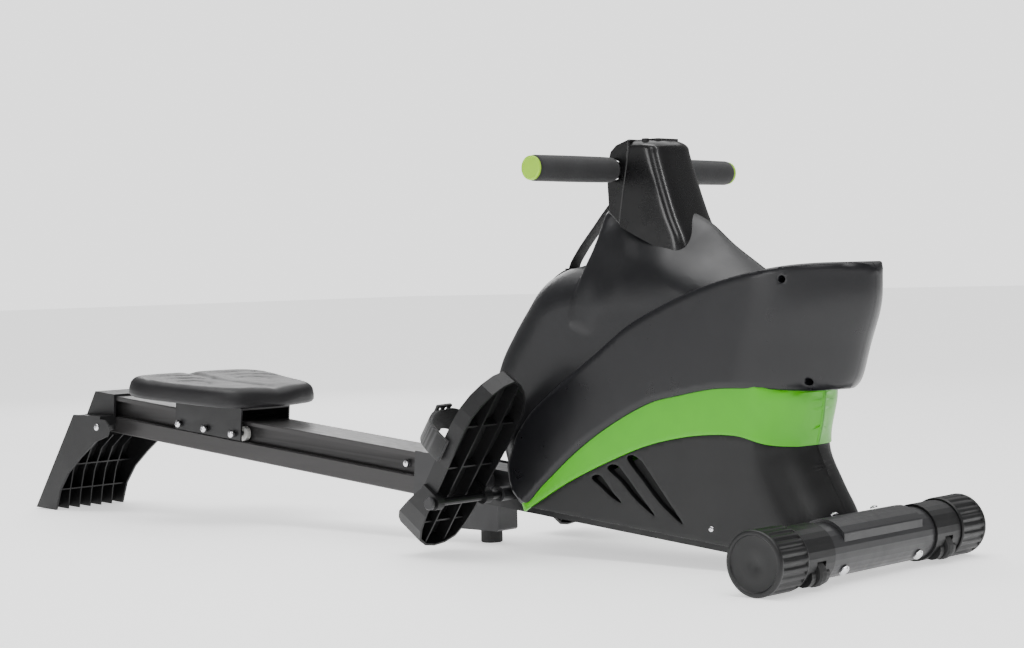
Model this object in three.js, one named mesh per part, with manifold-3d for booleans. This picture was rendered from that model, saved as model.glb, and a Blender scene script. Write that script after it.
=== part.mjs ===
// A folding magnetic rowing machine with a sliding seat on an aluminium rail.
// Millimetres, +Z up. X points to the front stabiliser, Y is sideways, Z is 0 on the floor.
// Pieces are laid out from the axis of the front stabiliser, and the whole machine is moved
// at the end so that the origin lies under the middle of its length.

import * as THREE from 'three';
import { mergeVertices } from 'three/addons/utils/BufferGeometryUtils.js';
import Module from 'manifold-3d';

const wasm = await Module();
wasm.setup();

// ---------------------------------------------------------------- driving dimensions

const gap = 0.3;                     // between pieces that touch

// front stabiliser
const stabiliserLength = 500;
const capRadius = 43.3;
const capLength = 64;
const capRibs = 22;
const capRibDepth = 2.4;
const tubeRadius = 36.5;
const tubeWall = 2.5;
const collarLength = 62;
const collarWall = 3.4;
const wheelRadius = 18.5;
const wheelWidth = 15;
const wheelForward = 25;             // wheel axis ahead of the tube axis
const wheelPinRadius = 4;
const stabiliserBoltSpan = 180;
const boltAngle = THREE.MathUtils.degToRad(40);   // the bolts enter from the front, below the middle
const boltRadius = 4;

// beam and rail, both on one line that falls to the front
const beamTilt = THREE.MathUtils.degToRad(5.473);
const beamBase = -5.8;               // height of that line under the stabiliser axis
const beamWidth = 60;
const beamHeight = 56;
const beamWall = 3;
const beamLift = 5;                  // underside of the beam above the line
const hingeDistance = 700;           // stabiliser axis to rail hinge, along the beam
const hingeHeight = 46;
const hingePinRadius = 6;
const lockDistance = 662;
const lockHeight = 46;
const lockPinRadius = 5;
const lockKnobRadius = 15;
const railFront = 724;
const railRear = 1640;
const railWidth = 84;
const railHeight = 67;
const grooveBottom = 30;
const grooveTop = 59;
const grooveDepth = 14;
const railWall = 3.5;
const sleeveFront = 640;
const sleeveRear = 812;
const sleeveWall = 3;
const stopDistance = 842;            // the bolt that stops the seat's rollers
const stopHeight = 44.5;
const stopBoltRadius = 3;
const saddleHalf = 95;               // the saddle that clasps the stabiliser

// post and foot under the beam
const postFront = -648;
const postRear = -742;
const postWidth = 44;
const postBottom = 20;
const centreFootRadius = 17;
const centreFootLength = 28;

// rear foot
const footWidth = 156;
const footWall = 4;
const footRibs = 5;
const footDrawnRear = 1640;          // railRear that the foot's outlines below are drawn for

// seat and carriage
const seatFront = 1190;
const seatRear = 1450;
const seatFrontWidth = 196;
const seatRearWidth = 300;
const seatBottom = 92;
const seatThickness = 36;
const carriageFront = seatFront + 32;
const carriageRear = seatRear - 52;
const carriageHalf = 55;
const carriagePlate = 3;
const carriageBottom = 33;
const carriageTop = 88;
const rollerRadius = 13;
const rollerWidth = 8;
const rollerPlaces = [
  carriageFront + 14, (carriageFront + carriageRear) / 2, carriageRear - 14,
];
const studRadius = 4;

// pedals
const pedalAxleX = -600;
const pedalAxleZ = 85;
const pedalAxleRadius = 6;
const pedalTilt = THREE.MathUtils.degToRad(55.4);
const pedalInner = 94;
const pedalWidth = 118;
const pedalToe = 209;
const pedalHeel = -93;
const pedalRim = 7;                  // underside of the pedal above its axle
const pedalDepth = 26;
const pedalWall = 3.5;
const heelCupHeight = 27;
const strapPlace = 78;               // middle of the strap along the pedal
const strapWidth = 38;
const strapArch = 62;
const strapThickness = 3;

// housing
const housingHalf = 80;
const shellWall = 3;
const visorStep = 7;                 // how far the visor stands proud of the shells
const bandStep = 2;
const visorReach = 150;              // how far back the rounding of the visor's nose starts
const crown = 64;                    // how far the rounded edge reaches in from the outline
const crownDepth = 70;

// drive
const flywheelX = -205;
const flywheelZ = 212;
const flywheelRadius = 108;
const flywheelWidth = 14;
const drumX = -392;
const drumZ = 232;
const drumRadius = 38;
const drumWidth = 30;
const pulleyRadius = 72;
const smallPulleyRadius = 18;
const beltWidth = 14;
const beltThickness = 3;
const beltPlane = -28;
const beltSlack = 0.9;
const driveAxleRadius = 7;
const bracketAngle = THREE.MathUtils.degToRad(125);
const bracketReach = 128;            // flywheel axis to the pivot of the magnet bracket
const bracketX = flywheelX + bracketReach * Math.cos(bracketAngle);
const bracketZ = flywheelZ + bracketReach * Math.sin(bracketAngle);
const bracketPinRadius = 5;
const sidePlate = 4;
const sidePlateHalf = 46;

// console head and handle
const headHalf = 49;
const headWall = 3;
const headReach = 20;                // how far back the rounding of the head's front starts
const lcdX = -330;
const lcdLength = 26;
const lcdWidth = 44;
const lcdTop = 604.5;
const buttonX = -330;
const buttonY = -34;
const buttonRadius = 5;
const buttonTop = 605;
const handleX = -380;
const handleZ = 562;
const handleLength = 452;
const handleBarRadius = 12;
const gripRadius = 18.5;
const gripLength = 170;
const gripCapThickness = 4;
const cradleRadius = handleBarRadius + 2;
const towStrapWidth = 24;
const towStrapThickness = 2;
const spineHalf = 20;                // the strap guide over the housing's rear seam
const slotX = -500;                  // where the tow strap leaves the housing

// tension knob, on the left face of the tower
const knobX = -352;
const knobZ = 366;
const knobRadius = 23;
const knobHeight = 21;
const knobShaftRadius = 5;

// ---------------------------------------------------------------- shape helpers

const solid = (geometry) => {
  const bare = geometry.clone();
  bare.deleteAttribute('normal');
  bare.deleteAttribute('uv');
  const merged = mergeVertices(bare, 1e-3);
  return new wasm.Manifold(new wasm.Mesh({
    numProp: 3,
    vertProperties: new Float32Array(merged.attributes.position.array),
    triVerts: new Uint32Array(merged.index.array),
  }));
};

const geometryOf = (body) => {
  const mesh = body.getMesh();
  const geometry = new THREE.BufferGeometry();
  geometry.setAttribute('position', new THREE.BufferAttribute(mesh.vertProperties, 3));
  geometry.setIndex(new THREE.BufferAttribute(mesh.triVerts, 1));
  geometry.computeVertexNormals();
  return geometry;
};

const axisX = new THREE.Vector3(1, 0, 0);
const axisY = new THREE.Vector3(0, 1, 0);
const axisZ = new THREE.Vector3(0, 0, 1);
const sideBasis = new THREE.Matrix4().makeBasis(axisX, axisZ, axisY.clone().negate());
const frontBasis = new THREE.Matrix4().makeBasis(axisY, axisZ, axisX);

const shapeOf = (points) => new THREE.Shape(points.map(([a, b]) => new THREE.Vector2(a, b)));

// A smooth line through a few points, closed on itself or open.
const smooth = (points, divisions, closed = true) => {
  const curve = new THREE.CatmullRomCurve3(
    points.map(([a, b]) => new THREE.Vector3(a, b, 0)), closed, 'centripetal');
  const found = curve.getPoints(divisions);
  if (closed) found.pop();
  return found.map((p) => [p.x, p.y]);
};

const extrude = (shape, depth, curveSegments = 6, bevel = null) => {
  const options = { depth, curveSegments, bevelEnabled: false };
  if (bevel) {
    options.bevelEnabled = true;
    options.bevelSize = bevel.size;
    options.bevelThickness = bevel.thickness;
    options.bevelSegments = bevel.segments;
    options.bevelOffset = -bevel.size;
  }
  return new THREE.ExtrudeGeometry(shape, options);
};

// An outline in X and Z, carried sideways from y0 to y1.
const sideSlab = (shape, y0, y1, curveSegments = 6) => {
  const geometry = extrude(shape, y1 - y0, curveSegments);
  return solid(geometry.applyMatrix4(sideBasis).translate(0, y1, 0));
};

// An outline in X and Z, rounded towards both side faces.
const pillow = (shape, half, size, thickness, segments) => {
  const depth = 2 * (half - thickness);
  const geometry = extrude(shape, depth, 6, { size, thickness, segments });
  return solid(geometry.applyMatrix4(sideBasis).translate(0, depth / 2, 0));
};

// An outline in X and Y, carried up from z0 to z1.
const planSlab = (shape, z0, z1, curveSegments = 6) =>
  solid(extrude(shape, z1 - z0, curveSegments).translate(0, 0, z0));

// A round bar along Z between z0 and z1.
const rodZ = (radius, x, y, z0, z1, sides = 20) => solid(
  new THREE.CylinderGeometry(radius, radius, z1 - z0, sides).rotateX(Math.PI / 2)
    .translate(x, y, (z0 + z1) / 2));

// An outline in Y and Z, carried forward from x0 to x1.
const frontSlab = (shape, x0, x1, curveSegments = 6) =>
  solid(extrude(shape, x1 - x0, curveSegments).applyMatrix4(frontBasis).translate(x0, 0, 0));

const box = (x0, x1, y0, y1, z0, z1) => solid(
  new THREE.BoxGeometry(x1 - x0, y1 - y0, z1 - z0)
    .translate((x0 + x1) / 2, (y0 + y1) / 2, (z0 + z1) / 2));

// A round bar along Y between y0 and y1.
const rodY = (radius, x, z, y0, y1, sides = 20) => solid(
  new THREE.CylinderGeometry(radius, radius, y1 - y0, sides)
    .translate(x, (y0 + y1) / 2, z));

// A turned piece: its profile is a list of [radius, distance along the axis], closed on itself
// or ending on the axis. The axis is Y.
const turned = (profile, sides) => new THREE.LatheGeometry(
  profile.map(([r, y]) => new THREE.Vector2(r, y)), sides);

const mirrorY = (body) => body.mirror([0, 1, 0]);

const finishes = {
  shell: new THREE.MeshStandardMaterial({ color: 0x2f3034, roughness: 0.42, metalness: 0 }),
  gloss: new THREE.MeshStandardMaterial({ color: 0x151517, roughness: 0.15, metalness: 0 }),
  green: new THREE.MeshStandardMaterial({ color: 0x8fd400, roughness: 0.35, metalness: 0 }),
  steel: new THREE.MeshStandardMaterial({ color: 0x1c1c1e, roughness: 0.45, metalness: 0.2 }),
  chrome: new THREE.MeshStandardMaterial({ color: 0xd8d8da, roughness: 0.15, metalness: 1 }),
  rail: new THREE.MeshStandardMaterial({ color: 0x2b2a2b, roughness: 0.4, metalness: 0.7 }),
  rubber: new THREE.MeshStandardMaterial({ color: 0x141415, roughness: 0.8, metalness: 0 }),
  plastic: new THREE.MeshStandardMaterial({ color: 0x1b1b1d, roughness: 0.6, metalness: 0 }),
  seat: new THREE.MeshStandardMaterial({ color: 0x262528, roughness: 0.6, metalness: 0 }),
  foam: new THREE.MeshStandardMaterial({ color: 0x242427, roughness: 0.9, metalness: 0 }),
  lime: new THREE.MeshStandardMaterial({ color: 0xb5d66a, roughness: 0.5, metalness: 0 }),
  nylon: new THREE.MeshStandardMaterial({ color: 0xc9c9c6, roughness: 0.5, metalness: 0 }),
  web: new THREE.MeshStandardMaterial({ color: 0x101011, roughness: 0.9, metalness: 0 }),
  iron: new THREE.MeshStandardMaterial({ color: 0x6c6d70, roughness: 0.4, metalness: 0.9 }),
  lcd: new THREE.MeshStandardMaterial({ color: 0x8a9482, roughness: 0.1, metalness: 0 }),
};

const machine = new THREE.Group();
// Everything on the tilted line of the beam: local -X runs back along the rail, local +Z stands
// off it, and local Z is 0 on its underside.
const beamFrame = new THREE.Group();
beamFrame.rotation.y = beamTilt;
beamFrame.position.z = beamBase;
machine.add(beamFrame);

const add = (name, shape, finish, parent = machine) => {
  const geometry = shape.isBufferGeometry ? shape : geometryOf(shape);
  const mesh = new THREE.Mesh(geometry, finish);
  mesh.name = name;
  parent.add(mesh);
  return mesh;
};

// The same piece on the right (-Y) and on the left (+Y).
const addPair = (name, rightShape, finish, parent = machine) => {
  const body = rightShape.isBufferGeometry ? solid(rightShape) : rightShape;
  add(`right_${name}`, body, finish, parent);
  add(`left_${name}`, mirrorY(body), finish, parent);
};

// Height above the floor of a point at distance h off the beam's underside, above X.
const beamZ = (x, h) => beamBase - Math.tan(beamTilt) * x + h / Math.cos(beamTilt);

// A body described in the beam's frame, seen from the machine's frame.
const tiltDegrees = THREE.MathUtils.radToDeg(beamTilt);
const fromBeam = (body) => body.rotate([0, tiltDegrees, 0]).translate([0, 0, beamBase]);

// ---------------------------------------------------------------- front stabiliser

const stabiliserHalf = stabiliserLength / 2;
const capInner = stabiliserHalf - capLength;
const collarInner = capInner - collarLength;

const stabiliserTube = () => {
  const reach = stabiliserHalf - 10;
  const outer = rodY(tubeRadius, 0, capRadius, -reach, reach, 28);
  const inner = rodY(tubeRadius - tubeWall, 0, capRadius, -reach - 1, reach + 1, 28);
  let tube = outer.subtract(inner);
  for (const side of [-1, 1]) {
    const y = side * (collarInner + collarLength / 2);
    tube = tube.subtract(wheelBay(y, gap));
    tube = tube.subtract(boltHole(side * stabiliserBoltSpan / 2));
    tube = tube.subtract(rodY(wheelPinRadius + gap, wheelForward, wheelZ, y - 21, y + 21, 12));
  }
  return tube;
};

const alongBolt = (geometry) => geometry
  .rotateZ(-Math.PI / 2)
  .rotateY(boltAngle);
const boltHole = (y) => solid(alongBolt(
  new THREE.CylinderGeometry(boltRadius + gap, boltRadius + gap, 30, 16)
    .translate(0, tubeRadius, 0)).translate(0, y, capRadius));

const stabiliserBolt = (y) => {
  const inside = tubeRadius - tubeWall - 6;
  const seat = tubeRadius + gap + 0.8;
  const geometry = turned([
    [0, inside], [boltRadius, inside], [boltRadius, seat], [8, seat],
    [8, seat + 1.5], [6, seat + 3.6], [0, seat + 4.4],
  ], 16);
  return alongBolt(geometry).translate(0, y, capRadius);
};

// Room for a transport wheel, open to the front and below.
const wheelZ = wheelRadius + 4.5;
const wheelBay = (y, slack) => {
  const half = wheelWidth / 2 + 2.5 + slack;
  const reach = wheelRadius + 3 + slack;
  const round = rodY(reach, wheelForward, wheelZ, y - half, y + half, 20);
  return round.add(box(wheelForward, wheelForward + 40, y - half, y + half, -5, wheelZ + 4));
};

const collar = (y) => {
  const half = collarLength / 2 - gap;
  const outer = rodY(tubeRadius + collarWall, 0, capRadius, y - half, y + half, 28);
  const cheek = rodY(wheelRadius - 3, wheelForward - 3, wheelZ - 2, y - 20, y + 20, 18);
  const inner = rodY(tubeRadius + gap, 0, capRadius, y - half - 1, y + half + 1, 28);
  const pinHole = rodY(wheelPinRadius + gap, wheelForward, wheelZ, y - 30, y + 30, 16);
  return outer.add(cheek).subtract(inner).subtract(wheelBay(y, 0)).subtract(pinHole);
};

const transportWheel = (y) => {
  const half = wheelWidth / 2;
  const bore = wheelPinRadius + gap;
  const geometry = turned([
    [bore, -half], [wheelRadius - 2, -half], [wheelRadius, -half + 3],
    [wheelRadius, half - 3], [wheelRadius - 2, half], [bore, half], [bore, -half],
  ], 18);
  return geometry.translate(wheelForward, y, wheelZ);
};

const wheelPin = (y) => rodY(wheelPinRadius, wheelForward, wheelZ, y - 20, y + 20, 16);

// A ribbed end cap: ribs along it, a plain rim, and a disc set into its face.
const endCap = (outerY) => {
  const ribbed = new THREE.Shape();
  const step = (2 * Math.PI) / capRibs;
  for (let i = 0; i < capRibs; i += 1) {
    const angle = i * step;
    const low = capRadius - capRibDepth;
    const at = (r, a) => [r * Math.cos(a), r * Math.sin(a)];
    if (i === 0) ribbed.moveTo(...at(capRadius, angle));
    else ribbed.lineTo(...at(capRadius, angle));
    ribbed.lineTo(...at(low, angle + step * 0.5));
  }
  ribbed.closePath();
  const length = capLength - gap;
  const skirt = extrude(ribbed, length - 6).rotateX(-Math.PI / 2);
  const rim = turned([
    [0, length - 7], [capRadius, length - 7], [capRadius, length - 2], [capRadius - 2, length],
    [capRadius - 7, length], [capRadius - 8, length - 1.5], [0, length - 1.5],
  ], 22);
  const bore = new THREE.CylinderGeometry(tubeRadius + gap, tubeRadius + gap, length, 28)
    .translate(0, length / 2 - 10 + gap, 0);
  const body = solid(skirt).add(solid(rim)).subtract(solid(bore));
  const placed = outerY > 0
    ? body.translate([0, outerY - length, capRadius])
    : mirrorY(body).translate([0, outerY + length, capRadius]);
  return placed;
};

add('stabiliser_tube', stabiliserTube(), finishes.steel);
const wheelY = -(collarInner + collarLength / 2);
addPair('stabiliser_collar', collar(wheelY), finishes.plastic);
addPair('end_cap', endCap(-stabiliserHalf), finishes.plastic);
addPair('transport_wheel', transportWheel(wheelY), finishes.rubber);
addPair('wheel_pin', wheelPin(wheelY), finishes.chrome);
addPair('stabiliser_bolt', stabiliserBolt(-stabiliserBoltSpan / 2), finishes.chrome);

// ---------------------------------------------------------------- main beam

// The steel beam runs from a saddle over the stabiliser back to the rail hinge. Two side plates
// welded to it carry the axles of the drive, and a cross tube behind them the pedal axle.
const beamRear = hingeDistance + 14;
const beamTop = beamLift + beamHeight;

const beamTube = () => {
  const outer = box(-beamRear, -tubeRadius - 4, -beamWidth / 2, beamWidth / 2,
    beamLift, beamTop);
  const inner = box(-beamRear - 1, 0, -beamWidth / 2 + beamWall, beamWidth / 2 - beamWall,
    beamLift + beamWall, beamTop - beamWall);
  const pin = rodY(hingePinRadius + gap, -hingeDistance, hingeHeight, -60, 60);
  return fromBeam(outer.subtract(inner).subtract(pin));
};

const saddle = () => {
  const shell = rodY(tubeRadius + gap + 5, 0, capRadius, -saddleHalf, saddleHalf, 28);
  const upper = box(-60, 34, -saddleHalf, saddleHalf, capRadius + 4, 120);
  const bridge = box(-78, -tubeRadius + 4, -beamWidth / 2 - 3, beamWidth / 2 + 3,
    beamZ(-60, 12), beamZ(-60, beamTop + 3));
  return shell.intersect(upper).add(bridge);
};

const drivePlate = (side) => {
  const low = beamTop - 20;
  const outline = shapeOf([
    [drumX - 30, beamZ(drumX - 30, low)],
    [drumX - 22, drumZ + 8],
    [drumX + 12, drumZ + 22],
    [flywheelX - 40, flywheelZ + 16],
    [flywheelX + 8, flywheelZ + 18],
    [flywheelX + 20, flywheelZ],
    [flywheelX + 34, beamZ(flywheelX + 34, low)],
  ]);
  const y = side * sidePlateHalf;
  let plate = sideSlab(outline, y - sidePlate / 2, y + sidePlate / 2);
  const cutOut = shapeOf([
    [drumX, beamZ(drumX, beamTop) + 22],
    [drumX + 8, drumZ - 30],
    [flywheelX - 22, flywheelZ - 30],
    [flywheelX - 4, beamZ(flywheelX, beamTop) + 24],
  ]);
  const ear = shapeOf([
    [flywheelX - 90, flywheelZ + 4], [bracketX - 11, bracketZ], [bracketX, bracketZ + 11],
    [bracketX + 11, bracketZ], [flywheelX - 46, flywheelZ + 4],
  ]);
  plate = plate.subtract(sideSlab(cutOut, y - 10, y + 10))
    .add(sideSlab(ear, y - sidePlate / 2, y + sidePlate / 2));
  const inner = side * (beamWidth / 2 - 1.5);
  const foot = fromBeam(box(drumX - 24, flywheelX + 28, Math.min(inner, y), Math.max(inner, y),
    low + 5, low + 10));
  return plate.add(foot);
};

const mainBeam = () => {
  let body = beamTube().add(saddle());
  for (const side of [-1, 1]) body = body.add(drivePlate(side));
  for (const [x, z] of [[drumX, drumZ], [flywheelX, flywheelZ]]) {
    body = body.subtract(rodY(driveAxleRadius + gap, x, z, -60, 60, 16));
  }
  body = body.subtract(rodY(bracketPinRadius + gap, bracketX, bracketZ, -60, 60, 12));
  const cross = rodY(pedalAxleRadius + 5, pedalAxleX, pedalAxleZ, -70, 70);
  return body.add(cross)
    .subtract(rodY(pedalAxleRadius + gap, pedalAxleX, pedalAxleZ, -80, 80))
    .subtract(rodY(tubeRadius + gap, 0, capRadius, -200, 200, 28));
};

add('main_beam', mainBeam(), finishes.steel);

const supportPost = () => {
  const step = -beamRear + 6;
  const underBeam = (x) => beamZ(x, beamLift) - gap;
  const underSleeve = (x) => beamZ(x, -sleeveWall - 3 * gap);
  const outline = shapeOf([
    [postRear + 4, postBottom], [postFront - 3, postBottom], [postFront, postBottom + 3],
    [postFront, underBeam(postFront)], [step, underBeam(step)], [step, underSleeve(step)],
    [postRear, underSleeve(postRear)], [postRear, postBottom + 4],
  ]);
  return sideSlab(outline, -postWidth / 2, postWidth / 2);
};

const footX = postFront - 35;
const centreFoot = () => {
  const geometry = turned([
    [0, 0], [centreFootRadius - 1.5, 0], [centreFootRadius, 1.5],
    [centreFootRadius, postBottom - gap], [0, postBottom - gap],
  ], 20);
  return geometry.rotateX(Math.PI / 2).translate(footX, 0, 0);
};

add('support_post', supportPost(), finishes.steel);
add('centre_foot', centreFoot(), finishes.rubber);

// ---------------------------------------------------------------- rail, hinge and rear foot

const railHalf = railWidth / 2;

const rail = () => {
  const grooveWall = railHalf - grooveDepth;
  const outline = shapeOf([
    [-railHalf + 2, 0], [railHalf - 2, 0], [railHalf, 2], [railHalf, grooveBottom - 2],
    [railHalf - 4, grooveBottom], [grooveWall, grooveBottom], [grooveWall, grooveTop],
    [railHalf, grooveTop], [railHalf, railHeight - 2], [railHalf - 2, railHeight],
    [-railHalf + 2, railHeight], [-railHalf, railHeight - 2], [-railHalf, grooveTop],
    [-grooveWall, grooveTop], [-grooveWall, grooveBottom], [-railHalf + 4, grooveBottom],
    [-railHalf, grooveBottom - 2], [-railHalf, 2],
  ]);
  const body = frontSlab(outline, -railRear, -railFront);
  const core = box(-railRear - 1, -railFront + 1, -grooveWall + railWall, grooveWall - railWall,
    railWall, railHeight - railWall);
  const bays = [-1, 1].map((side) => {
    const y0 = side * (grooveWall + 1);
    const y1 = side * (railHalf - railWall);
    return box(-railRear - 1, -railFront + 1, Math.min(y0, y1), Math.max(y0, y1),
      railWall, grooveBottom - railWall);
  });
  return body.subtract(core).subtract(bays[0]).subtract(bays[1]);
};

// The folded steel sleeve clamps the front of the rail and carries the hinge pin.
const sleeve = () => {
  const half = railHalf + gap + sleeveWall;
  const top = railHeight + gap;
  const back = box(-sleeveRear, -railFront + gap, -half, half, -gap - sleeveWall,
    top + sleeveWall);
  const hollow = box(-sleeveRear - 1, -railFront + gap + 1, -railHalf - gap, railHalf + gap,
    -gap, top);
  let body = back.subtract(hollow);
  for (const side of [-1, 1]) {
    const y0 = side * (railHalf + gap);
    const y1 = side * half;
    const cheek = box(-railFront - 4, -sleeveFront - 16, Math.min(y0, y1), Math.max(y0, y1),
      hingeHeight - 18, hingeHeight + 16);
    const nose = rodY(17, -sleeveFront - 18, hingeHeight - 1, Math.min(y0, y1),
      Math.max(y0, y1), 24);
    body = body.add(cheek).add(nose);
  }
  const pin = rodY(hingePinRadius + gap, -hingeDistance, hingeHeight, -80, 80);
  const lock = rodY(lockPinRadius + gap, -lockDistance, lockHeight, -80, 0, 16);
  return body.subtract(pin).subtract(lock);
};

const hingePin = () => {
  const inside = railHalf + gap + sleeveWall + gap;
  const head = 10;
  const geometry = turned([
    [0, -inside - 5], [head - 2, -inside - 5], [head, -inside - 3], [head, -inside],
    [hingePinRadius, -inside], [hingePinRadius, inside], [head, inside],
    [head, inside + 4], [0, inside + 4],
  ], 14);
  return geometry.translate(-hingeDistance, 0, hingeHeight);
};

const lockKnob = () => {
  const seat = railHalf + gap + sleeveWall + gap;
  const inner = beamWidth / 2 + 2 * gap;
  const r = lockKnobRadius;
  const geometry = turned([
    [0, inner], [lockPinRadius, inner], [lockPinRadius, seat], [8, seat],
    [8, seat + 6], [r - 1, seat + 8], [r, seat + 10], [r, seat + 19], [r - 3, seat + 22],
    [0, seat + 22],
  ], 16);
  return geometry.rotateX(Math.PI).translate(-lockDistance, 0, lockHeight);
};

const railBody = rail()
  .subtract(rodY(stopBoltRadius + gap, -stopDistance, stopHeight, -60, -20, 12));

const stopBolt = () => {
  const inner = railHalf - grooveDepth - railWall - 4;
  const seat = railHalf - grooveDepth + gap;
  const geometry = turned([
    [0, inner], [stopBoltRadius, inner], [stopBoltRadius, seat], [6.5, seat], [6.5, seat + 5],
    [5, seat + 7.5], [0, seat + 8],
  ], 16);
  return geometry.rotateX(Math.PI).translate(-stopDistance, 0, stopHeight);
};

add('rail', railBody, finishes.rail, beamFrame);
add('rail_sleeve', sleeve(), finishes.steel, beamFrame);
add('hinge_pin', hingePin(), finishes.steel, beamFrame);
add('lock_knob', lockKnob(), finishes.plastic, beamFrame);
add('rail_stop_bolt', stopBolt(), finishes.chrome, beamFrame);

// The rear foot is one moulding: two leaf-shaped side panels, a back wall and top that close the
// rail's end, and an open ribbed front.
const footShift = (footDrawnRear - railRear) * Math.cos(beamTilt);
const footStretch = (railRear * Math.sin(beamTilt) + beamBase)
  / (footDrawnRear * Math.sin(beamTilt) + beamBase);
const forRail = (points) => points.map(([x, z]) => [x + footShift, z * footStretch]);
const leafPoints = forRail([
  [-1779, 3], [-1718, 0], [-1703, 38], [-1676, 71], [-1638, 100], [-1591, 131],
  [-1556, 142], [-1548, 158], [-1562, 171], [-1619, 179], [-1655, 179],
]);
const backPoints = forRail([
  [-1628, 221], [-1655, 179], [-1706, 103], [-1749, 45], [-1779, 3],
]);
const footFront = forRail([
  [-1718, 0], [-1712, 30], [-1700, 70], [-1676, 112], [-1640, 137], [-1585, 143],
]);
const footBox = [[-1700, 120], [-1570, 230], [-1900, -5], [-1500, 178]];

const rearFoot = () => {
  const half = footWidth / 2;
  const leaf = shapeOf(leafPoints);
  const wide = sideSlab(leaf, -half, half);
  const whole = sideSlab(shapeOf([
    ...footFront, ...forRail([[-1575, 160], [-1572, 216]]), ...backPoints,
  ]), -half, half);
  const leaves = wide.subtract(sideSlab(leaf, -half + footWall, half - footWall));
  // what is behind the ribs is open to the front
  const pocket = sideSlab(shapeOf(forRail([
    [-1700, -20], [-1690, 60], [-1662, 108], [-1632, 126], [-1560, 128], [-1560, 150],
    [-1648, 152], [-1668, 146], [-1700, 98], [-1742, 38], [-1762, -20],
  ])), -half + footWall, half - footWall);
  const step = (footWidth - 2 * footWall) / (footRibs + 1);
  let ribs = null;
  for (let i = 1; i <= footRibs; i += 1) {
    const y = -half + footWall + i * step;
    const rib = sideSlab(shapeOf([...footFront, ...backPoints.slice(1)]), y - 1.2, y + 1.2);
    ribs = ribs ? ribs.add(rib) : rib;
  }
  const reach = [backPoints[4][0] - 20, backPoints[0][0] + 130];
  for (const z of [38, 84]) {
    ribs = ribs.add(sideSlab(shapeOf([
      ...footFront, ...backPoints.slice(1),
    ]), -half + 1, half - 1).intersect(box(...reach, -half, half, z - 1.2, z + 1.2)));
  }
  // the rail's end stands in a socket in the upper block
  const socket = fromBeam(box(-railRear - gap, 0, -railHalf - gap, railHalf + gap,
    -gap, railHeight + gap));
  const [blockLow, blockHigh, sideLow, sideHigh] = forRail(footBox);
  const block = box(blockLow[0], blockHigh[0], -railHalf - 5, railHalf + 5, blockLow[1],
    blockHigh[1]);
  const sides = whole.intersect(block.add(
    box(sideLow[0], sideHigh[0], -half, half, sideLow[1], sideHigh[1])));
  return sides.subtract(pocket).add(ribs).add(leaves).subtract(socket);
};

add('rear_foot', rearFoot(), finishes.plastic);

// ---------------------------------------------------------------- seat and carriage

const seatOutline = () => {
  const f = seatFrontWidth / 2;
  const r = seatRearWidth / 2;
  const length = seatRear - seatFront;
  const points = [
    [-seatFront - 6, 0], [-seatFront, f * 0.55], [-seatFront - 18, f],
    [-seatFront - length * 0.42, f + (r - f) * 0.66],
    [-seatRear + length * 0.22, r], [-seatRear + 16, r * 0.86], [-seatRear, r * 0.5],
    [-seatRear + 4, 0],
  ];
  const mirrored = points.slice(1, -1).reverse().map(([x, y]) => [x, -y]);
  return smooth([...points, ...mirrored], 28);
};

const seat = () => {
  const outline = shapeOf(seatOutline());
  const geometry = extrude(outline, seatThickness - 18, 4, { size: 14, thickness: 9, segments: 2 });
  const body = solid(geometry.translate(0, 0, seatBottom + 9));
  const dish = (y) => solid(new THREE.SphereGeometry(1, 14, 9)
    .scale(105, 66, 9)
    .translate(-(seatFront + seatRear) / 2 - 18, y, seatBottom + seatThickness + 1));
  return body.subtract(dish(66)).subtract(dish(-66));
};

const carriage = () => {
  const outer = box(-carriageRear, -carriageFront, -carriageHalf, carriageHalf,
    carriageBottom, carriageTop);
  const inner = box(-carriageRear - 1, -carriageFront + 1, -carriageHalf + carriagePlate,
    carriageHalf - carriagePlate, carriageBottom - 1, carriageTop - carriagePlate);
  let body = outer.subtract(inner);
  const rise = (seatBottom - gap);
  body = body.add(box(-carriageRear + 20, -carriageFront - 20, -40, 40,
    carriageTop - 1, rise));
  const tip = railHalf - grooveDepth + 1;
  for (const side of [-1, 1]) {
    for (const s of rollerPlaces) {
      const y0 = side * tip;
      const y1 = side * (carriageHalf + 5);
      body = body.add(rodY(studRadius, -s, rollerHeight, Math.min(y0, y1), Math.max(y0, y1), 10));
    }
  }
  return body;
};

const rollerHeight = grooveBottom + rollerRadius + gap;

const roller = (side, s) => {
  const bore = studRadius + gap;
  const inner = railHalf - grooveDepth + 3;
  const profile = [
    [bore, inner], [rollerRadius, inner], [rollerRadius, inner + rollerWidth],
    [bore, inner + rollerWidth], [bore, inner],
  ];
  const geometry = turned(profile, 16);
  if (side < 0) geometry.rotateX(Math.PI);
  return geometry.translate(-s, 0, rollerHeight);
};

add('seat', seat(), finishes.seat, beamFrame);
add('seat_carriage', carriage(), finishes.steel, beamFrame);
rollerPlaces.forEach((s, i) => {
  const place = ['front', 'middle', 'rear'][i];
  add(`right_${place}_roller`, roller(-1, s), finishes.nylon, beamFrame);
  add(`left_${place}_roller`, roller(1, s), finishes.nylon, beamFrame);
});

// ---------------------------------------------------------------- pedals

const pedalSpan = pedalInner + pedalWidth;
const pedalMiddle = pedalInner + pedalWidth / 2;

const pedalAxle = () => {
  const reach = pedalSpan + 6;
  const geometry = turned([
    [0, -reach - 5], [8, -reach - 5], [10, -reach - 3], [10, -reach],
    [pedalAxleRadius, -reach], [pedalAxleRadius, reach], [10, reach], [10, reach + 3],
    [8, reach + 5], [0, reach + 5],
  ], 14);
  return geometry.translate(pedalAxleX, 0, pedalAxleZ);
};

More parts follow.
